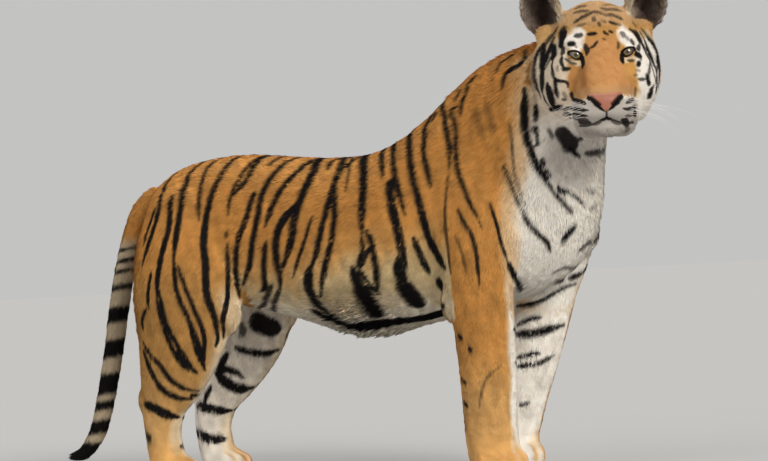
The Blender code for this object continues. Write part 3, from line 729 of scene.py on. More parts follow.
def marking_paths(points, triangles, labels):
    """All strokes as (3-D path, half width, strength)."""
    corner = labels[triangles[:, 0]]
    head = is_part(corner, "head", "ear_")
    tail = is_part(corner, "tail")
    leg = {side: is_part(corner, *(f"{part}_{side}" for part in LEG_PARTS)) for side in ("left", "right")}
    body = {side: Chart(points, triangles[~(head | tail | leg[other])])
            for side, other in (("left", "right"), ("right", "left"))}
    legs = {side: Chart(points, triangles[leg[side]]) for side in leg}
    below_head = Chart(points, triangles[~head])
    face = Chart(points, triangles[is_part(corner, "head", "neck")])
    nape = Chart(points, triangles[is_part(corner, "head", "neck", "trunk")])
    middle = {(side, limb): leg_middle(points, labels, [f"{part}_{side}" for part in parts])
              for side in ("left", "right") for limb, parts in LIMBS.items()}
    paths = []

    def keep(path, stroke, scale, slanted=True):
        """Strokes drawn on skin that turns away from the drawing are wider on the skin."""
        path = strip_misses(path)
        if len(path) > 1:
            square = np.ones(len(path))
            if slanted:
                square = np.convolve(np.pad(path[:, 3], 6, "edge"), np.full(13, 1 / 13), "valid").clip(0.6, 1)
            paths.append((path[:, :3], stroke[0] * MM / 2 * scale / square, stroke[1]))

    def leg_offset(flat, limb, origin, target):
        """How far along x one leg stands from its fellow, at each height."""
        return middle[target, limb](flat[:, 1]) - middle[origin, limb](flat[:, 1])

    def flank_shift(flat):
        """Moves the right flank's strokes onto the left legs; off the legs it is nothing."""
        x, z = flat.T
        fore, hind = (leg_offset(flat, limb, "right", "left") for limb in LIMBS)
        return np.where(x > 0, fore, hind) * ramp(0.52, 0.42, z) * ((x > 0.30) | (x < -0.33))

    def beside(flat, sign):
        """A flat side drawing stood up beside the tiger, on the side that sign gives."""
        return np.stack((flat[:, 0], np.full(len(flat), MIDDLE_Y + sign * RAY_START), flat[:, 1]), 1)

    def over_back(path, sign):
        """The same stroke carried up from the flank to the spine."""
        x, y = path[0, :2]
        rise = np.linspace(1, 0, SPINE_STEPS + 1)[:-1]
        across = lerp(y, MIDDLE_Y + sign * SPINE_GAP, rise)
        starts = np.stack((x + SPINE_LEAD * rise, across, np.full(SPINE_STEPS, 2.0)), 1)
        return np.vstack((below_head.drop(starts, (0, 0, -1)), path))

    dice = np.random.default_rng(21)
    for stroke in FLANK:
        for side, sign in (("right", -1), ("left", 1)):
            flat = drawn(stroke)
            scale = 1.0
            if side == "left":
                sway = dice.normal(0, SWAY, 2)
                wobble = WOBBLE * np.sin(flat[:, 1] * 30 + dice.uniform(0, 6))
                flat = flat + sway
                flat[:, 0] += wobble
                flat[:, 0] += flank_shift(flat)
                scale = dice.uniform(0.8, 1.2)
            path = strip_misses(body[side].drop(beside(flat, sign), (0, -sign, 0)))
            downward = len(path) > 1 and path[0, 2] > path[-1, 2]
            if downward and path[0, 2] > CARRIED_HEIGHT and stroke[0] > CARRIED_MM:
                path = over_back(path, sign)
            keep(path, stroke, scale * spreading(stroke[0]), False)
    for strokes, limb in ((FORELEG_INSIDE, "fore"), (HINDLEG_INSIDE, "hind")):
        for stroke in strokes:
            for side, sign in (("left", -1), ("right", 1)):
                flat = drawn(stroke)
                if side == "right":
                    flat[:, 0] += leg_offset(flat, limb, "left", "right")
                keep(legs[side].drop(beside(flat, sign), (0, -sign, 0)), stroke, spreading(stroke[0]), False)
    for stroke in CHEST:
        flat = drawn(stroke)
        for sign in (1, -1):
            across = np.array((math.cos(FRONT_TURN), sign * math.sin(FRONT_TURN), 0))
            toward = np.array((-math.sin(FRONT_TURN), sign * math.cos(FRONT_TURN), 0))
            lift = np.array((0.0, 0.0, 1.0))
            origin = np.array((0, (1 - sign) * MIDDLE_Y, 0))
            starts = origin + flat[:, :1] * across + flat[:, 1:] * lift - toward * 3
            path = strip_misses(below_head.drop(starts, toward))
            if sign < 0:
                path = path[path[:, 1] > MIDDLE_Y + 0.075]
            keep(path, stroke, FRONT_SPREADING)
    for stroke in FACE:
        flat = drawn(stroke, 0.003)
        lag = np.zeros(len(flat))
        for _ in range(3):
            starts = from_head(np.stack((flat[:, 0] + lag, flat[:, 1], np.full(len(flat), 0.6)), 1))
            path = face.drop(starts, -HEAD_AXES[2])
            lag = -VIEW_LAG * np.minimum(np.nan_to_num(to_head(path[:, :3])[:, 2]), 0.0)
        keep(path, stroke, FACE_SPREADING)
    for stroke in CHEEK:
        for sign in (1, -1):
            flat = drawn(stroke)
            starts = from_head(np.stack((np.full(len(flat), 0.5 * sign), flat[:, 1], flat[:, 0]), 1))
            path = strip_misses(nape.drop(starts, -sign * HEAD_AXES[0]))
            hidden = to_head(path[:, :3])[:, 2] < (-0.022 if sign > 0 else -0.05)
            keep(path[hidden], stroke, BACK_SPREADING)
    for stroke in CROWN_BARS:
        flat = drawn(stroke)
        starts = from_head(np.stack((flat[:, 0], flat[:, 1], np.full(len(flat), -0.6)), 1))
        keep(nape.drop(starts, HEAD_AXES[2]), stroke, BACK_SPREADING)
    return paths


def spreading(width):
    """Side strokes are drawn narrow too, the thin ones most."""
    return lerp(1.65, 1.10, ramp(12, 34, width))


def darkness(points, paths, jag):
    """How dark the strokes make each point, 0 to 1."""
    dark = np.zeros(len(points))
    for path, halves, strength in paths:
        half = halves.max()
        margin = half + 0.006
        within = (points > path.min(0) - margin) & (points < path.max(0) + margin)
        near = np.flatnonzero(within.all(axis=1))
        if not len(near):
            continue
        here = points[near]
        best = np.full(len(near), 9.0)
        share = np.zeros(len(near))
        ends = np.linspace(0, 1, len(path))
        for k, (a, b) in enumerate(zip(path[:-1], path[1:])):
            along = b - a
            if along @ along > 0.0004:
                continue
            t = np.clip(((here - a) @ along) / max(along @ along, 1e-12), 0, 1)
            away = here - a - t[:, None] * along
            distance = np.sqrt((away * away).sum(1))
            closer = distance < best
            best = np.where(closer, distance, best)
            share = np.where(closer, lerp(ends[k], ends[k + 1], t), share)
        taper = np.minimum(1, 0.55 + 3.0 * share) * np.minimum(1, 0.35 + 3.2 * (1 - share))
        if len(path) * 0.004 < 4 * half:
            taper = 1.0
        half = np.interp(share, ends, halves)
        edge = EDGE + 0.08 * half
        rag = jag[near] * np.minimum(1, (half / 0.007) ** 2)
        mark = strength * ramp(-edge, edge, half * taper + rag - best)
        dark[near] = np.maximum(dark[near], mark)
    return dark


# Colours as they look on screen
# TOP_PAINTED_LIGHT is painted light: a lighter orange for the surfaces that face up
ORANGE, TOP_PAINTED_LIGHT, TAN, OLIVE = (191, 134, 67), (216, 160, 90), (208, 164, 104), (158, 124, 74)
CREAM, WHITE, PAINTED_SHADE_GREY = (226, 208, 178), (246, 240, 231), (170, 158, 144)
BLACK, PEACH, BEIGE_AND_SHADE, RUST_AND_SHADE = (15, 11, 10), (222, 190, 148), (196, 170, 134), (164, 106, 62)
PAW_GOLD, FOREHEAD, BRIDGE, MUZZLE = (224, 168, 98), (182, 134, 72), (190, 136, 82), (168, 160, 150)
EAR_INSIDE, EAR_PAINTED_SHADE = (172, 154, 138), (62, 46, 40)
LEATHER, LIP, TAIL_PALE = (166, 102, 78), (34, 27, 25), (196, 178, 150)
BUFF, FACE_WHITE = (204, 184, 142), (232, 224, 214)
CROWN, BRIDGE_PAINTED_SHADE, BRIDGE_FOOT, GOLD_AND_LIGHT = (196, 158, 114), (112, 68, 30), (176, 138, 96), (206, 156, 84)


def paint_body(blend, points, normals, labels, wave):
    """Orange, painted lighter on the surfaces that face up high on the body as painted light from above,
    paler down the flank and white below; the legs and paws.
    """
    x, _, z = points.T
    trunk = is_part(labels, "trunk", "neck")
    legs = is_part(labels, *LEG_PARTS)
    hind = is_part(labels, *LIMBS["hind"])
    paw = is_part(labels, "paw")
    outward = np.where(is_part(labels, "left"), normals[:, 1], -normals[:, 1])
    height = z + 0.018 * wave
    torso = trunk | (is_part(labels, "upper_arm") & (x < 0.41))
    # painted light: surfaces that face up, above 0.6 m, are painted a lighter orange
    blend(TOP_PAINTED_LIGHT, 0.8 * ramp(0.40, 0.90, normals[:, 2]) * (z > 0.6))
    fuller = 0.045 * ramp(-0.10, 0.12, x)
    blend(TAN, 0.8 * ramp(0.62, 0.50, height - fuller) * torso)
    blend(BUFF, 0.85 * ramp(0.56, 0.46, height - fuller) * torso * (x < 0.45))
    blend(CREAM, 0.7 * ramp(0.50, 0.42, height) * torso * (x < 0.45))
    blend(WHITE, 0.7 * ramp(-0.55, -0.90, normals[:, 2]) * trunk)
    # legs: orange outside, white inside, golden paws
    blend(OLIVE, 0.45 * (hind & (z < 0.62)) * ramp(0.62, 0.45, z))
    blend(TAN, 0.75 * legs * ramp(0.36, 0.16, z))
    # the forelegs' white inner side reaches round onto their fronts: partly their own white, partly a painted
    # highlight
    turned = outward - 0.22 * np.maximum(normals[:, 0], 0) * ~hind
    inner = ramp(0.26, -0.12, turned + 0.10 * wave) * ramp(0.70, 0.56, z)
    blend(WHITE, 0.95 * legs * inner * ~hind)
    # painted shade: the white inside the hind legs is greyed a little
    blend(lerp(WHITE, PAINTED_SHADE_GREY, 0.12), 0.9 * legs * inner * hind)
    front_edge = ramp(0.45, 0.85, normals[:, 0]) * legs
    blend(CREAM, 0.75 * front_edge * hind * ramp(0.53, 0.46, z))
    blend(PAW_GOLD, 0.8 * paw * ramp(0.12, 0.05, z) * ramp(-0.6, 0.2, outward))


def paint_chest(blend, points, normals, labels, wave):
    """The white of throat and chest, edged with peach; its rim is drawn from the front, on each side."""
    x, y, z = points.T
    right = x * math.cos(FRONT_TURN) + y * math.sin(FRONT_TURN)
    left = x * math.cos(FRONT_TURN) + (2 * MIDDLE_Y - y) * math.sin(FRONT_TURN) + 0.02
    left -= 0.30 * ramp(0.80, 0.96, z + 0.5 * wave * MM) * ramp(-0.02, 0.03, y - MIDDLE_Y)
    rim = np.interp(z, (0.50, 0.60, 0.70, 0.80, 0.90, 1.05), (0.250, 0.240, 0.256, 0.278, 0.296, 0.326))
    past = np.minimum(right, left) - rim + 0.006 * wave
    chest = ramp(0.75, 0.45, normals[:, 2]) * ramp(0.36, 0.42, z) * (x > 0.40)
    chest = chest * is_part(labels, "trunk", "neck", "upper_arm")
    blend(PEACH, 0.9 * chest * ramp(-0.016, 0.014, past))
    blend(WHITE, 0.95 * chest * ramp(0.012, 0.055, past))


def tail_share(points, labels, fine):
    """1 on the tail and on the rump where the tail leaves it."""
    x, y, _ = points.T
    behind = (x - VIEW_AIM[0]) * math.cos(VIEW_TURN) - np.abs(y - MIDDLE_Y) * math.sin(VIEW_TURN)
    root = ramp(-0.614, -0.630, behind + 0.004 * fine) * is_part(labels, "trunk", "neck")
    return np.maximum(is_part(labels, "tail"), root)


def tail_black(points, tail, jag):
    """The tail's bands and its black tip."""
    x, _, z = points.T
    dark = tail * ramp(TAIL_TIP + 0.004, TAIL_TIP - 0.004, z + 2 * jag)
    for middle, half_band in TAIL_BANDS:
        slope = 0.16 * (x - np.interp(z, (0.1, 0.7), (-0.87, -0.68)))
        band = ramp(0.0025, -0.0025, np.abs(z - middle - slope) - half_band * MM + 1.6 * jag)
        dark = np.maximum(dark, band * tail * (1.0 if half_band > 8 else 0.9))
    return dark


def paint_head(blend, points, head, fine):
    """Crown, cheeks, brows, bridge of the nose and muzzle, with painted shade down the tiger's right side of
    the bridge and on its right cheek, and painted light below its left eye.
    """
    flat, q = face_plane(points)
    u, v, w = flat[:, 0], flat[:, 1], q[:, 2]
    over = np.abs(u)

    def paint(target, weight):
        blend(target, head * weight)

    paint(FOREHEAD, 1.0)
    cheek = over + 0.004 * fine + np.where(u > 0, 0.002, 0)
    side = ramp(0.078, 0.088, cheek) * ramp(0.085, 0.045, v)
    side = side * ramp(-0.125, -0.09, w + 0.006 * fine)
    ahead = ramp(-0.035, -0.01, w)
    low = ramp(-0.085, -0.115, v + 0.006 * fine)
    paint(CROWN, 0.9 * ramp(0.055, 0.085, v))
    paint(FACE_WHITE, np.maximum(side, low) * ramp(0.06, 0.02, v + 0.01 * fine))
    # on the tiger's right side only: beige over the white cheek and rust beside the bridge, partly their own
    # tone, partly painted shade on that side of the face
    left_of = ramp(0, -0.02, u) * ramp(-0.20, -0.10, v)
    paint(BEIGE_AND_SHADE, 0.5 * left_of * side)
    paint(RUST_AND_SHADE, 0.75 * ahead * left_of * bell(over - 0.068, 0.016) * bell(v + 0.064, 0.032))
    ruff_top = ramp(0.115, 0.14, over) * ramp(0.0, 0.05, v)
    paint(TAN, 0.6 * ruff_top)
    brow = np.where(u < 0, ((u + 0.061) / 0.027) ** 2, ((u - 0.062 + 0.25 * (v - 0.04)) / 0.024) ** 2)
    brow = brow + ((v - 0.039) / 0.033) ** 2
    paint(FACE_WHITE, ahead * ramp(1.3, 0.6, brow + 0.22 * fine))
    under = ((over - 0.064) / 0.024) ** 2 + ((v + 0.0175 - 0.25 * (over - 0.064)) / 0.0075) ** 2
    paint(CREAM, 0.8 * ahead * ramp(1.4, 0.6, under + 0.15 * fine))
    bridge_half = np.interp(v, (-0.105, -0.088, -0.04, 0.0, 0.04), (0.072, 0.066, 0.050, 0.040, 0.040))
    bridge = ramp(0.010, -0.010, over - bridge_half + 0.004 * fine) * ramp(0.06, 0.02, v)
    above = ramp(NOSE_TOP - 0.010, NOSE_TOP + 0.004, v + 0.003 * fine) * (w > -0.02)
    paint(BRIDGE, bridge * above)
    paint(BRIDGE_FOOT, 0.7 * bridge * above * ramp(-0.075, -0.098, v + 0.004 * fine))
    # gold below the tiger's left eye, on that side only: partly its own tone, partly painted light on that
    # side of the face
    paint(GOLD_AND_LIGHT, 0.7 * ahead * bell(u - 0.064, 0.014) * bell(v + 0.042, 0.016))
    # painted shade down the tiger's right side of the bridge of the nose
    bridge_shadow = bell(u + 0.047, 0.009) * ramp(-0.018, -0.034, v) * ramp(-0.092, -0.07, v)
    paint(BRIDGE_PAINTED_SHADE, 0.6 * ahead * bridge_shadow)
    paint(MUZZLE, 0.8 * ramp(-0.108, -0.118, v) * ramp(0.085, 0.07, over) * (w > 0))


def paint_ears(blend, points, normals, labels, fine):
    """Pale hair inside with painted shade across its middle and outer part, black behind."""
    facing = normals @ HEAD_AXES[2]
    ear = is_part(labels, "ear_")
    blend(BLACK, ear * ramp(0.15, -0.15, facing))
    blend(EAR_INSIDE, ear * ramp(-0.05, 0.2, facing))
    for name, sign in (("ear_left", -1), ("ear_right", 1)):
        low_corner, high_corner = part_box(name)
        centre = np.array((low_corner + high_corner) / 2)
        half = np.linalg.norm((high_corner - low_corner)[:2]) / 2
        inward = sign * (to_head(points) - to_head(centre[None]))[:, 0] / half
        inside = is_part(labels, name) * ramp(-0.05, 0.2, facing)
        # painted shade inside the ear, across its middle and towards its outer rim
        blend(EAR_PAINTED_SHADE, 0.85 * inside * bell(inward + 0.10 + 0.08 * fine, 0.42))
        blend(CREAM, 0.9 * inside * ramp(0.25, 0.55, inward + 0.10 * fine))
        blend(FOREHEAD, 0.8 * inside * ramp(0.60, 0.85, inward + 0.08 * fine))


def tint(points, normals, labels, paths, jag):
    """Coat colour at each point (linear), how much of it is black, and 1 on the nose's bare leather."""
    wave, fine = ripple(points, 0.09, 3), ripple(points, 0.03, 4)
    head = is_part(labels, "head")
    coat = Mix(ORANGE, len(points))
    paint_body(coat.blend, points, normals, labels, wave)
    streak = ripple(points * (1, 1, 0.25), 0.035, 8)
    coat.rows = coat.rows * (1 + 0.05 * streak + 0.04 * fine)[:, None]
    paint_chest(coat.blend, points, normals, labels, wave)
    tail = tail_share(points, labels, fine)
    coat.blend(TAIL_PALE, tail * ramp(0.655, 0.615, points[:, 2]))
    paint_head(coat.blend, points, head, fine)
    paint_ears(coat.blend, points, normals, labels, fine)
    # the strokes, the tail's bands, and the dark rims of eyes, mouth and nostrils; the eyes' rims are wider
    # along the upper lids, partly as painted shade
    dark = np.maximum(darkness(points, paths, jag), tail_black(points, tail, jag))
    flat, q = face_plane(points)
    folded, w = half_face(flat), q[:, 2]
    # the eyes' black rims, drawn wider along the upper lids: partly real rim, partly painted shade from the
    # lids
    eye_rim_and_lid_shade = eye_gap(q) - 0.002 * (q[:, 1] > 0)
    dark = np.maximum(dark, head * (w > -0.01) * ramp(0.0056, 0.0030, eye_rim_and_lid_shade))
    lips = ramp(0.0036, 0.0016, polyline_distance(folded, MOUTH)) * (w > 0.03)
    dark = np.maximum(dark, 0.6 * lips * head)
    leather = nose_leather(q) * head
    rim = bell(polyline_distance(folded, NOSTRIL), 0.0035) * (w > 0.08)
    dark = np.where(leather > 0.5, 0.0, dark)
    coat.blend(BLACK, dark)
    coat.blend(LEATHER, leather)
    coat.blend(LIP, 0.95 * leather * rim)
    return linear(coat.rows), np.maximum(dark, leather * rim), leather


# ---- lie of the coat
LIE_ON_LEGS = {
    "upper_arm": (-0.35, 0, -0.95),
    "forearm": (-0.15, 0, -1),
    "thigh": (-0.45, 0, -0.90),
    "shank": (-0.30, 0, -0.95),
    "paw": (0.90, 0, -0.45),
}


def lie_of_coat(points, normals, labels, edges):
    """Which way the hair points at each skin vertex: a unit tangent."""
    q = to_head(points)
    up = normals[:, 2]
    lie = Mix((-0.85, 0.0, -0.50), len(points))

    def aim(direction, weight):
        lie.blend(unit(direction), weight)

    trunk = is_part(labels, "trunk")
    neck = is_part(labels, "neck")
    aim((-1, 0, -0.10), trunk * ramp(0.35, 0.85, up))
    aim((-1, 0, -0.10), trunk * ramp(-0.3, -0.8, up))
    aim((-0.55, 0, -0.85), neck)
    aim((-0.95, 0, -0.30), neck * ramp(0.2, 0.7, up))
    aim((0, 0, -1), (trunk | neck) * ramp(0.25, 0.65, normals[:, 0]) * (points[:, 0] > 0.3))
    for word, direction in LIE_ON_LEGS.items():
        aim(direction, is_part(labels, word))
    tail = is_part(labels, "tail")
    aim((-0.30, 0, -0.95), tail)
    aim((-1, 0, -0.35), tail * ramp(0.68, 0.74, points[:, 2]))
    aim((-1, 0, -0.35), tail * ramp(0.115, 0.085, points[:, 2]))
    from_nose = (q - (0, -0.105, 0.145)) @ HEAD_AXES
    sweep = unit(from_nose) + np.array((0, 0, -0.35)) * ramp(-0.02, -0.08, q[:, 2])[:, None]
    way = np.where(is_part(labels, "head")[:, None], unit(sweep), lie.rows)
    way = np.where(is_part(labels, "ear_")[:, None], np.array((0.0, 0.0, 1.0)), way)
    way = spread(way, edges, 24)
    return unit(way - normals * (way * normals).sum(1, keepdims=True))


# By part: hairs per square centimetre, length and width in mm, and lift from the skin in degrees
PARTS = {
    "ear_": (26, 8, 0.9, 16),
    "head": (26, 11, 1.1, 15),
    "neck": (15, 22, 1.5, 17),
    "trunk": (14, 18, 1.5, 15),
    "upper_arm": (16, 15, 1.4, 14),
    "thigh": (16, 16, 1.4, 14),
    "forearm": (20, 11, 1.2, 13),
    "shank": (20, 12, 1.2, 13),
    "paw": (24, 7, 1.0, 12),
    "tail": (26, 17, 1.3, 15),
}
UNNAMED_PART = 15
TUFTS_PER_PIECE = 90000
PATCH = 0.003  # a tuft's size on the unwrap
ROOT_DEPTH = 0.0006  # tufts start this far under the skin
TIP_CLEARANCE = 0.0008  # and end at least this far above the floor
BEND = 0.45  # the share of a tuft below its bend
ROOT_SHADE, TIP_SHADE, BLACK_TIP_LOSS = 0.88, 1.10, 0.08
SKIN_SHADE = 0.92


def coat_style(points, normals, labels):
    """Density per square metre, length, width (m) and lift (radians) of the tufts at each vertex."""
    density, length, width, lift = (
        by_part(labels, {word: row[k] for word, row in PARTS.items()}, UNNAMED_PART) for k in range(4)
    )
    flat, q = face_plane(points)
    over, v, w = np.abs(flat[:, 0]), q[:, 1], q[:, 2]
    head = is_part(labels, "head")

    def grade(weight, *targets):
        nonlocal density, length, width, lift
        weight = np.clip(weight, 0, 1)
        values = [lerp(now, target, weight) for now, target in zip((density, length, width, lift), targets)]
        density, length, width, lift = values

    face = head * ramp(-0.035, 0.005, w) * ramp(0.118, 0.085, over) * ramp(0.085, 0.05, v)
    start = np.where(flat[:, 0] < 0, 0.150, 0.134)
    ruff = head * ramp(start, start + 0.02, over) * ramp(0.06, 0.0, v) * ramp(0.05, 0.0, w)
    jaw = head * ramp(-0.165, -0.19, v)
    grade(ruff, 24, 27, 1.3, 17)
    grade(jaw * (w < 0.09), 24, 16, 1.2, 18)
    grade(face, 58, 6.5, 0.8, 15)
    grade(head * ramp(0.10, 0.125, w) * (v < -0.08), 80, 4.0, 0.7, 14)
    grade(head * ramp(-0.172, -0.182, v) * (w > 0.08), 45, 9, 0.9, 24)
    under = ramp(-0.35, -0.85, normals[:, 2]) * is_part(labels, "trunk")
    grade(under, 18, 22, 1.5, 15)
    grade(under * bell(points[:, 0] - 0.07, 0.11), 20, 40, 1.7, 42)
    chest = ramp(0.2, 0.6, normals[:, 0]) * is_part(labels, "trunk", "neck") * (points[:, 0] > 0.3)
    grade(chest, 20, 18, 1.4, 15)
    throat = is_part(labels, "neck") * ramp(0.2, -0.4, normals[:, 2])
    grade(throat, 19, 21, 1.4, 17)
    behind = ramp(-0.4, -0.8, normals[:, 0])
    grade(behind * is_part(labels, "thigh", "upper_arm"), 18, 21, 1.4, 18)
    ear_inside = is_part(labels, "ear_") & (normals @ HEAD_AXES[2] > 0.1)
    grade(ear_inside * 1.0, 16, 15, 1.0, 30)
    bare = eye_gap(q)
    density = density * np.where(head & (w > -0.01), ramp(0.0030, 0.0050, bare), 1)
    length = length * np.where(head & (w > -0.01), lerp(0.55, 1, ramp(0.004, 0.014, bare)), 1)
    density = density * np.where(head, ramp(0.5, 0.1, nose_leather(q)), 1)
    mouth = polyline_distance(half_face(q), MOUTH)
    density = density * np.where(head & (w > 0.03), ramp(0.002, 0.005, mouth), 1)
    density = density * ramp(0.0015, 0.006, points[:, 2])
    return density * 1e4, length * MM, width * MM, np.radians(lift)


def scatter(points, triangles, density):
    """Random roots on the triangles: triangle index and barycentric weights."""
    a, b, c = (points[triangles[:, k]] for k in range(3))
    area = np.linalg.norm(np.cross(b - a, c - a), axis=1) / 2
    wanted = area * density[triangles].mean(1)
    count = np.floor(wanted + rng.random(len(wanted))).astype(int)
    owner = np.repeat(np.arange(len(triangles)), count)
    r, s = np.sqrt(rng.random(len(owner))), rng.random(len(owner))
    return owner, np.stack((1 - r, r * (1 - s), r * s), 1)


def mesh_of(name, points, faces, colours, material, uv=None):
    """A mesh object from arrays, coloured by vertex, with its faces all triangles."""
    mesh = bpy.data.meshes.new(name)
    mesh.vertices.add(len(points))
    mesh.vertices.foreach_set("co", points.astype(np.float32).ravel())
    mesh.loops.add(faces.size)
    mesh.loops.foreach_set("vertex_index", faces.astype(np.int32).ravel())
    mesh.polygons.add(len(faces))
    mesh.polygons.foreach_set("loop_start", np.arange(0, faces.size, 3, dtype=np.int32))
    mesh.update(calc_edges=True)
    set_tint(mesh, colours)
    if uv is not None:
        layer = mesh.uv_layers.new(name="OFBake")
        layer.data.foreach_set("uv", uv[faces.ravel()].astype(np.float32).ravel())
    mesh.materials.append(material)
    return new_object(name, mesh)


def set_tint(mesh, colours):
    layer = mesh.color_attributes.new("tint", "FLOAT_COLOR", "POINT")
    layer.data.foreach_set("color", np.c_[colours, np.ones(len(colours))].astype(np.float32).ravel())


def chart_of(roots):
    """Places on an unwrap of the part's own shape: the turn about its long axis, and the way along it."""
    centre = roots.mean(0)
    axes = np.linalg.svd((roots[:: max(1, len(roots) // 4000)] - centre), full_matrices=False)[2]
    local = (roots - centre) @ axes.T
    turn = np.arctan2(local[:, 2], local[:, 1]) / (2 * math.pi) + 0.5
    along = (local[:, 0] - local[:, 0].min()) / max(np.ptp(local[:, 0]), 1e-6)
    return 0.004 + 0.992 * np.stack((turn, along), 1)


def grow_coat(points, normals, triangles, labels, flow, paths):
    """Every tuft is a ridged blade: a root, two shoulders and a tip that bends back to the skin."""
    density, length, width, lift = coat_style(points, normals, labels)
    head_tree = Chart(points, triangles[is_part(labels[triangles[:, 0]], "head")]).tree

    def on_skin(places, label):
        """The places, those of the head's long hair brought down to its skin."""
        places = places.copy()
        for row in np.flatnonzero(is_part(label, "head")).tolist():
            places[row] = head_tree.find_nearest(Vector(places[row]))[0]
        return places

    owner, weights = scatter(points, triangles, density)
    corners = triangles[owner]

    def at_root(values):
        flat = values.reshape(len(values), -1)
        return (flat[corners] * weights[:, :, None]).sum(1).reshape(-1, *values.shape[1:])

    root, normal, way = at_root(points), unit(at_root(normals)), unit(at_root(flow))
    length, width, lift = at_root(length), at_root(width), at_root(lift)
    count = len(root)
    label = labels[corners[np.arange(count), weights.argmax(1)]]
    # shape: neighbours clump together, and each tuft strays a little from them
    across = np.cross(normal, way)
    clump = ripple(root, 0.030, 11)
    swing = 0.16 * clump + 0.13 * rng.normal(size=count)
    way = unit(way * np.cos(swing)[:, None] + across * np.sin(swing)[:, None])
    across = np.cross(normal, way)
    length = length * np.clip(1 + 0.10 * clump + rng.normal(0, 0.16, count), 0.5, 1.5)
    lift = lift * np.clip(1 + 0.25 * ripple(root, 0.022, 12) + rng.normal(0, 0.20, count), 0.3, 1.8)
    reach, half = length[:, None], width[:, None] / 2

    def leaning(angle):
        return way * np.cos(angle)[:, None] + normal * np.sin(angle)[:, None]

    base = root - normal * ROOT_DEPTH
    middle = base + leaning(lift) * reach * BEND
    tip = middle + leaning(lift * 0.25) * reach * (1 - BEND)
    tip[:, 2] = np.maximum(tip[:, 2], TIP_CLEARANCE)
    sink = normal * half * 0.35
    blades = np.stack((base, middle + across * half - sink, tip, middle - across * half - sink), 1)
    # colour: taken from the skin under the tuft's middle and tip, darker at the root
    jag = jaggedness(root) + rng.normal(0, 0.0004, count)
    inner, dark, _ = tint(on_skin(root + way * reach * 0.40, label), normal, label, paths, jag)
    outer = tint(on_skin(root + way * reach * 0.90, label), normal, label, paths, jag)[0]
    colour = np.stack((inner, inner, outer, inner), 1)
    glow = np.exp(rng.normal(0, 0.085, count) + 0.045 * clump)
    plain = np.ones(count)
    shade = np.stack((plain * ROOT_SHADE, plain, TIP_SHADE - BLACK_TIP_LOSS * dark, plain), 1)
    warm = 1 + np.outer(rng.normal(0, 0.03, count), (0.6, 0.0, -0.9))
    colour = np.clip(colour * (shade * glow[:, None])[:, :, None] * warm[:, None, :], 0, 1)
    for index, name in enumerate(FLESH):
        mine = np.flatnonzero(label == index)
        if len(mine):
            order = mine[np.argsort(chart_of(root[mine])[:, 1])]
            add_coat_pieces(name, order, root, blades, colour)


def add_coat_pieces(name, order, root, blades, colour):
    """One part's tufts, sorted along the part and shared among pieces of a limited size."""
    pattern = np.array(((0, 1, 2), (0, 2, 3)))
    corner_uv = np.array(((-0.5, 0.0), (0.0, 0.5), (0.5, 0.0), (0.0, -0.5))) * PATCH
    for part, chosen in enumerate(np.array_split(order, math.ceil(len(order) / TUFTS_PER_PIECE))):
        faces = (np.arange(len(chosen))[:, None, None] * 4 + pattern).reshape(-1, 3)
        uv = chart_of(root[chosen])[:, None, :] + corner_uv
        piece = mesh_of(f"fur_{name}_{part + 1}", blades[chosen].reshape(-1, 3), faces,
                        colour[chosen].reshape(-1, 3), FUR, uv.reshape(-1, 2))
        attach(piece, "root")


def jaggedness(points):
    return 0.0009 * ripple(points, 0.016, 5) + 0.0004 * ripple(points, 0.006, 6)


# ---- materials
def principled(name, tinted=True, **settings):
    """A Principled material, coloured by the mesh's tint if tinted; settings name its sockets."""
    material = bpy.data.materials.new(name)
    material.use_nodes = True
    tree = material.node_tree
    shader = tree.nodes["Principled BSDF"]
    for socket, value in settings.items():
        shader.inputs[socket.replace("_", " ")].default_value = value
    if tinted:
        colour = tree.nodes.new("ShaderNodeVertexColor")
        colour.layer_name = "tint"
        tree.links.new(colour.outputs["Color"], shader.inputs["Base Color"])
    return material


def add_bump(material, scale, strength, stretch=(1, 1, 1)):
    """Fine relief, finer along the hair than across it."""
    tree = material.node_tree
    place = tree.nodes.new("ShaderNodeTexCoord")
    turn = tree.nodes.new("ShaderNodeMapping")
    turn.inputs["Scale"].default_value = stretch
    noise = tree.nodes.new("ShaderNodeTexNoise")
    noise.inputs["Scale"].default_value = scale
    noise.inputs["Detail"].default_value = 3.0
    bump = tree.nodes.new("ShaderNodeBump")
    bump.inputs["Strength"].default_value = strength
    bump.inputs["Distance"].default_value = 0.002
    tree.links.new(place.outputs["Object"], turn.inputs["Vector"])
    tree.links.new(turn.outputs["Vector"], noise.inputs["Vector"])
    tree.links.new(noise.outputs["Fac"], bump.inputs["Height"])
    tree.links.new(bump.outputs["Normal"], tree.nodes["Principled BSDF"].inputs["Normal"])
    return material


FUR = principled("fur", Roughness=0.7, Specular_IOR_Level=0.15)
HIDE = add_bump(principled("hide", Roughness=0.8, Specular_IOR_Level=0.12), 420, 0.5, (0.5, 1, 1))
BARE = add_bump(principled("bare_skin", Roughness=0.42, Specular_IOR_Level=0.45), 900, 0.25)
EYE = principled("wet_eye", Roughness=0.25, Coat_Weight=1.0, Coat_Roughness=0.03)
WHISKER = principled("whisker", Roughness=0.35)

# ---- eyes and whiskers
IRIS, PUPIL = 0.0104, 0.0042
EYE_GREEN, EYE_AMBER, EYE_RING = (84.0, 78.0, 42.0), (124.0, 96.0, 42.0), (60.0, 42.0, 18.0)
EYE_BROWN, EYE_BLACK = (44.0, 32.0, 26.0), (8.0, 7.0, 7.0)
WHISKER_WHITE = (238, 232, 222)
WHISKER_ROWS = ((-0.119, 3), (-0.130, 4), (-0.141, 4), (-0.151, 3))  # v and number of each row
WHISKER_RADIUS, STEM_SIDES, STEM_JOINTS = 0.00036, 5, 9
GAZE = unit((0.02, 0.03, 1.0))


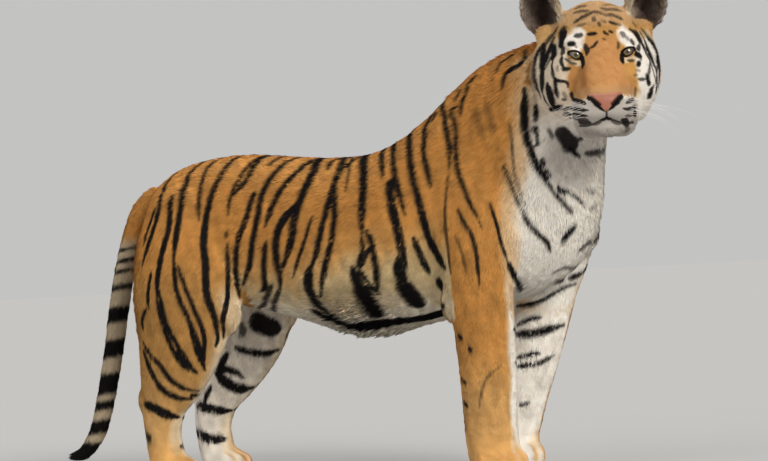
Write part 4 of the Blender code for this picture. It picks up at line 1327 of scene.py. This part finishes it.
def make_eye(name, side):
    """A ball with a round pupil, a streaked iris with a dark edge, and a dark surround."""
    spokes, rings = 128, 72
    low_corner, high_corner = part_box(name)
    centre = np.array((low_corner + high_corner) / 2)
    pole = np.linspace(0, math.pi, rings + 1)[1:-1] ** 1.35 / math.pi**0.35
    turn = np.linspace(0, 2 * math.pi, spokes, endpoint=False)
    tilt, spin = (grid.ravel() for grid in np.meshgrid(pole, turn, indexing="ij"))
    local = np.stack((np.sin(tilt) * np.cos(spin), np.sin(tilt) * np.sin(spin), np.cos(tilt)), 1)
    local = np.vstack(((0, 0, 1), local, (0, 0, -1)))
    away = EYE_RADIUS * np.hypot(local[:, 0], local[:, 1])
    away = np.where(local[:, 2] < 0, EYE_RADIUS, away)
    angle = np.arctan2(local[:, 1], local[:, 0])
    look = unit(GAZE * (side, 1, 1))
    across = unit(np.cross((0, 1, 0), look))
    basis = np.array((across, np.cross(look, across), look))
    points = from_head(to_head(centre[None]) + (local * EYE_RADIUS) @ basis)
    streak = 0.5 * np.sin(angle * 37) + 0.3 * np.sin(angle * 61 + 1.0) + 0.2 * np.sin(angle * 97 + 2.0)
    out = np.clip((away - PUPIL) / (IRIS - PUPIL), 0, 1)[:, None]
    colour = lerp(EYE_AMBER, EYE_GREEN, out)
    colour = colour * (1 + 0.16 * streak[:, None] * (1 - 0.4 * out))
    colour = lerp(colour, EYE_RING, ramp(0.80, 1.0, out))
    colour = lerp(colour, EYE_BROWN, ramp(IRIS, IRIS + 0.0006, away)[:, None])
    past_pupil = ramp(PUPIL - 0.0003, PUPIL + 0.0004, away)[:, None]
    colour = lerp(EYE_BLACK, colour, past_pupil)
    faces = []
    last = len(points) - 1
    for s in range(spokes):
        n = (s + 1) % spokes
        faces.append((0, 1 + s, 1 + n))
        for r in range(rings - 2):
            a, b = 1 + r * spokes + s, 1 + r * spokes + n
            faces += [(a, a + spokes, b), (b, a + spokes, b + spokes)]
        faces.append((last, last - spokes + n, last - spokes + s))
    eye = mesh_of(f"{name}_ball", points, np.array(faces), linear(np.clip(colour, 0, 255)), EYE)
    eye.data.shade_smooth()
    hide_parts(name)
    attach(eye, "root")


def make_whiskers(points, triangles, labels):
    """Thin tapered stems on both sides of the muzzle."""
    pad = Chart(points, triangles[is_part(labels[triangles[:, 0]], "head")])
    stems = []
    for side in (1, -1):
        for row, (v, count) in enumerate(WHISKER_ROWS):
            for k in range(count):
                u = side * (0.048 + 0.0095 * k + 0.003 * (row % 2))
                stems.append((u, v + 0.004 * k, side, rng.uniform(0.095, 0.150) * (0.78 + 0.08 * k)))
    all_points, all_faces = [], []
    sides, joints = STEM_SIDES, STEM_JOINTS
    for u, v, side, length in stems:
        start = strip_misses(pad.drop(from_head(np.array(((u, v, 0.5),))), -HEAD_AXES[2]))[:, :3]
        if not len(start):
            continue
        way = (side * rng.uniform(0.85, 1.0), rng.uniform(-0.25, 0.05), rng.uniform(-0.50, -0.30))
        out = unit(way)
        t = np.linspace(0, 1, joints)[:, None]
        bend = np.array((0, -0.45, -0.30))
        line = to_head(start) - (0, 0, 0.001) + (out * t + bend * t**2 * 0.6) * length
        along = unit(np.gradient(line, axis=0))
        first = unit(np.cross(along, (0, 1, 0.2)))
        second = np.cross(along, first)
        thick = WHISKER_RADIUS * (1 - 0.85 * t)
        ring = np.linspace(0, 2 * math.pi, sides, endpoint=False)
        tube = [line + thick * (first * math.cos(a) + second * math.sin(a)) for a in ring]
        base = len(all_points) * joints * sides
        all_points.append(np.stack(tube, 1).reshape(-1, 3))
        for j in range(joints - 1):
            for s in range(sides):
                n = (s + 1) % sides
                a, b = base + j * sides + s, base + j * sides + n
                all_faces += [(a, b, a + sides), (b, b + sides, a + sides)]
    made = from_head(np.vstack(all_points))
    colours = np.tile(linear(WHISKER_WHITE), (len(made), 1))
    piece = mesh_of("whiskers", made, np.array(all_faces), colours, WHISKER)
    piece.data.shade_smooth()
    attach(piece, "root")


# ---- light, floor and camera
def add_sun(name, source, softness, strength, colour):
    """Soft parallel light from the source's side; softness in degrees."""
    data = bpy.data.lights.new(name, "SUN")
    data.angle, data.energy, data.color = math.radians(softness), strength, colour
    lamp = new_object(name, data)
    lamp.rotation_euler = Vector(source).to_track_quat("Z", "Y").to_euler()


FLOOR_REACH, FLOOR_GREY = 30, (0.455, 0.452, 0.444, 1)


def add_stage():
    """A light grey floor, three soft suns and an even sky."""
    floor_mesh = bpy.data.meshes.new("floor")
    corners = [(x * FLOOR_REACH, y * FLOOR_REACH, 0) for x, y in ((-1, -1), (1, -1), (1, 1), (-1, 1))]
    floor_mesh.from_pydata(corners, [], [(0, 1, 2, 3)])
    floor = new_object("floor", floor_mesh)
    paint = principled("floor", False, Base_Color=FLOOR_GREY, Roughness=1.0, Specular_IOR_Level=0.0)
    floor_mesh.materials.append(paint)
    add_sun("key", (0.95, -0.58, 0.54), 20, 2.1, (1.0, 0.975, 0.93))
    add_sun("fill", (-0.60, -0.80, 0.45), 60, 0.6, (0.95, 0.97, 1.0))
    add_sun("top", (-0.15, 0.25, 1.0), 50, 1.1, (1.0, 0.98, 0.95))
    world = bpy.data.worlds.new("studio")
    world.use_nodes = True
    sky = world.node_tree.nodes["Background"]
    sky.inputs["Color"].default_value = (0.88, 0.88, 0.87, 1)
    sky.inputs["Strength"].default_value = 0.62
    bpy.context.scene.world = world
    bpy.context.scene.view_settings.view_transform = "Standard"


VIEW_ROLL = math.radians(3.5)
VIEW_DISTANCE, LENS = 9.0, 166.64


def add_camera():
    """The main view, the photograph's: a long lens, held level but slightly rolled."""
    back = Vector((math.sin(VIEW_TURN), -math.cos(VIEW_TURN), 0))
    level = Vector((math.cos(VIEW_TURN), math.sin(VIEW_TURN), 0))
    upright = Vector((0, 0, 1))
    right = math.cos(VIEW_ROLL) * level - math.sin(VIEW_ROLL) * upright
    up = math.sin(VIEW_ROLL) * level + math.cos(VIEW_ROLL) * upright
    lens = bpy.data.cameras.new("camera")
    lens.sensor_width, lens.lens, lens.clip_end = 36, LENS, 100
    camera = new_object("camera", lens)
    camera.matrix_world = Matrix.LocRotScale(Vector(VIEW_AIM) + back * VIEW_DISTANCE,
                                             Matrix((right, up, back)).transposed(), None)
    bpy.context.scene.camera = camera


# ---- the model
def main():
    skin = make_skin()
    mesh = skin.data
    points, normals = read_points(mesh), read_normals(mesh)
    triangles, edges = read_triangles(mesh), read_edges(mesh)
    labels = node_labels(points)
    paths = marking_paths(points, triangles, labels)
    colour, _, leather = tint(points, normals, labels, paths, jaggedness(points))
    set_tint(mesh, colour * SKIN_SHADE)
    mesh.materials.clear()
    mesh.materials.append(HIDE)
    mesh.materials.append(BARE)
    bare = (leather[triangles].mean(1) > 0.5).astype(np.int32)
    mesh.polygons.foreach_set("material_index", bare)
    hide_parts(*FLESH)
    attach(skin, "root")
    flow = lie_of_coat(points, normals, labels, edges)
    grow_coat(points, normals, triangles, labels, flow, paths)
    make_eye("eye_left", 1)
    make_eye("eye_right", -1)
    make_whiskers(points, triangles, labels)
    add_stage()
    add_camera()


main()
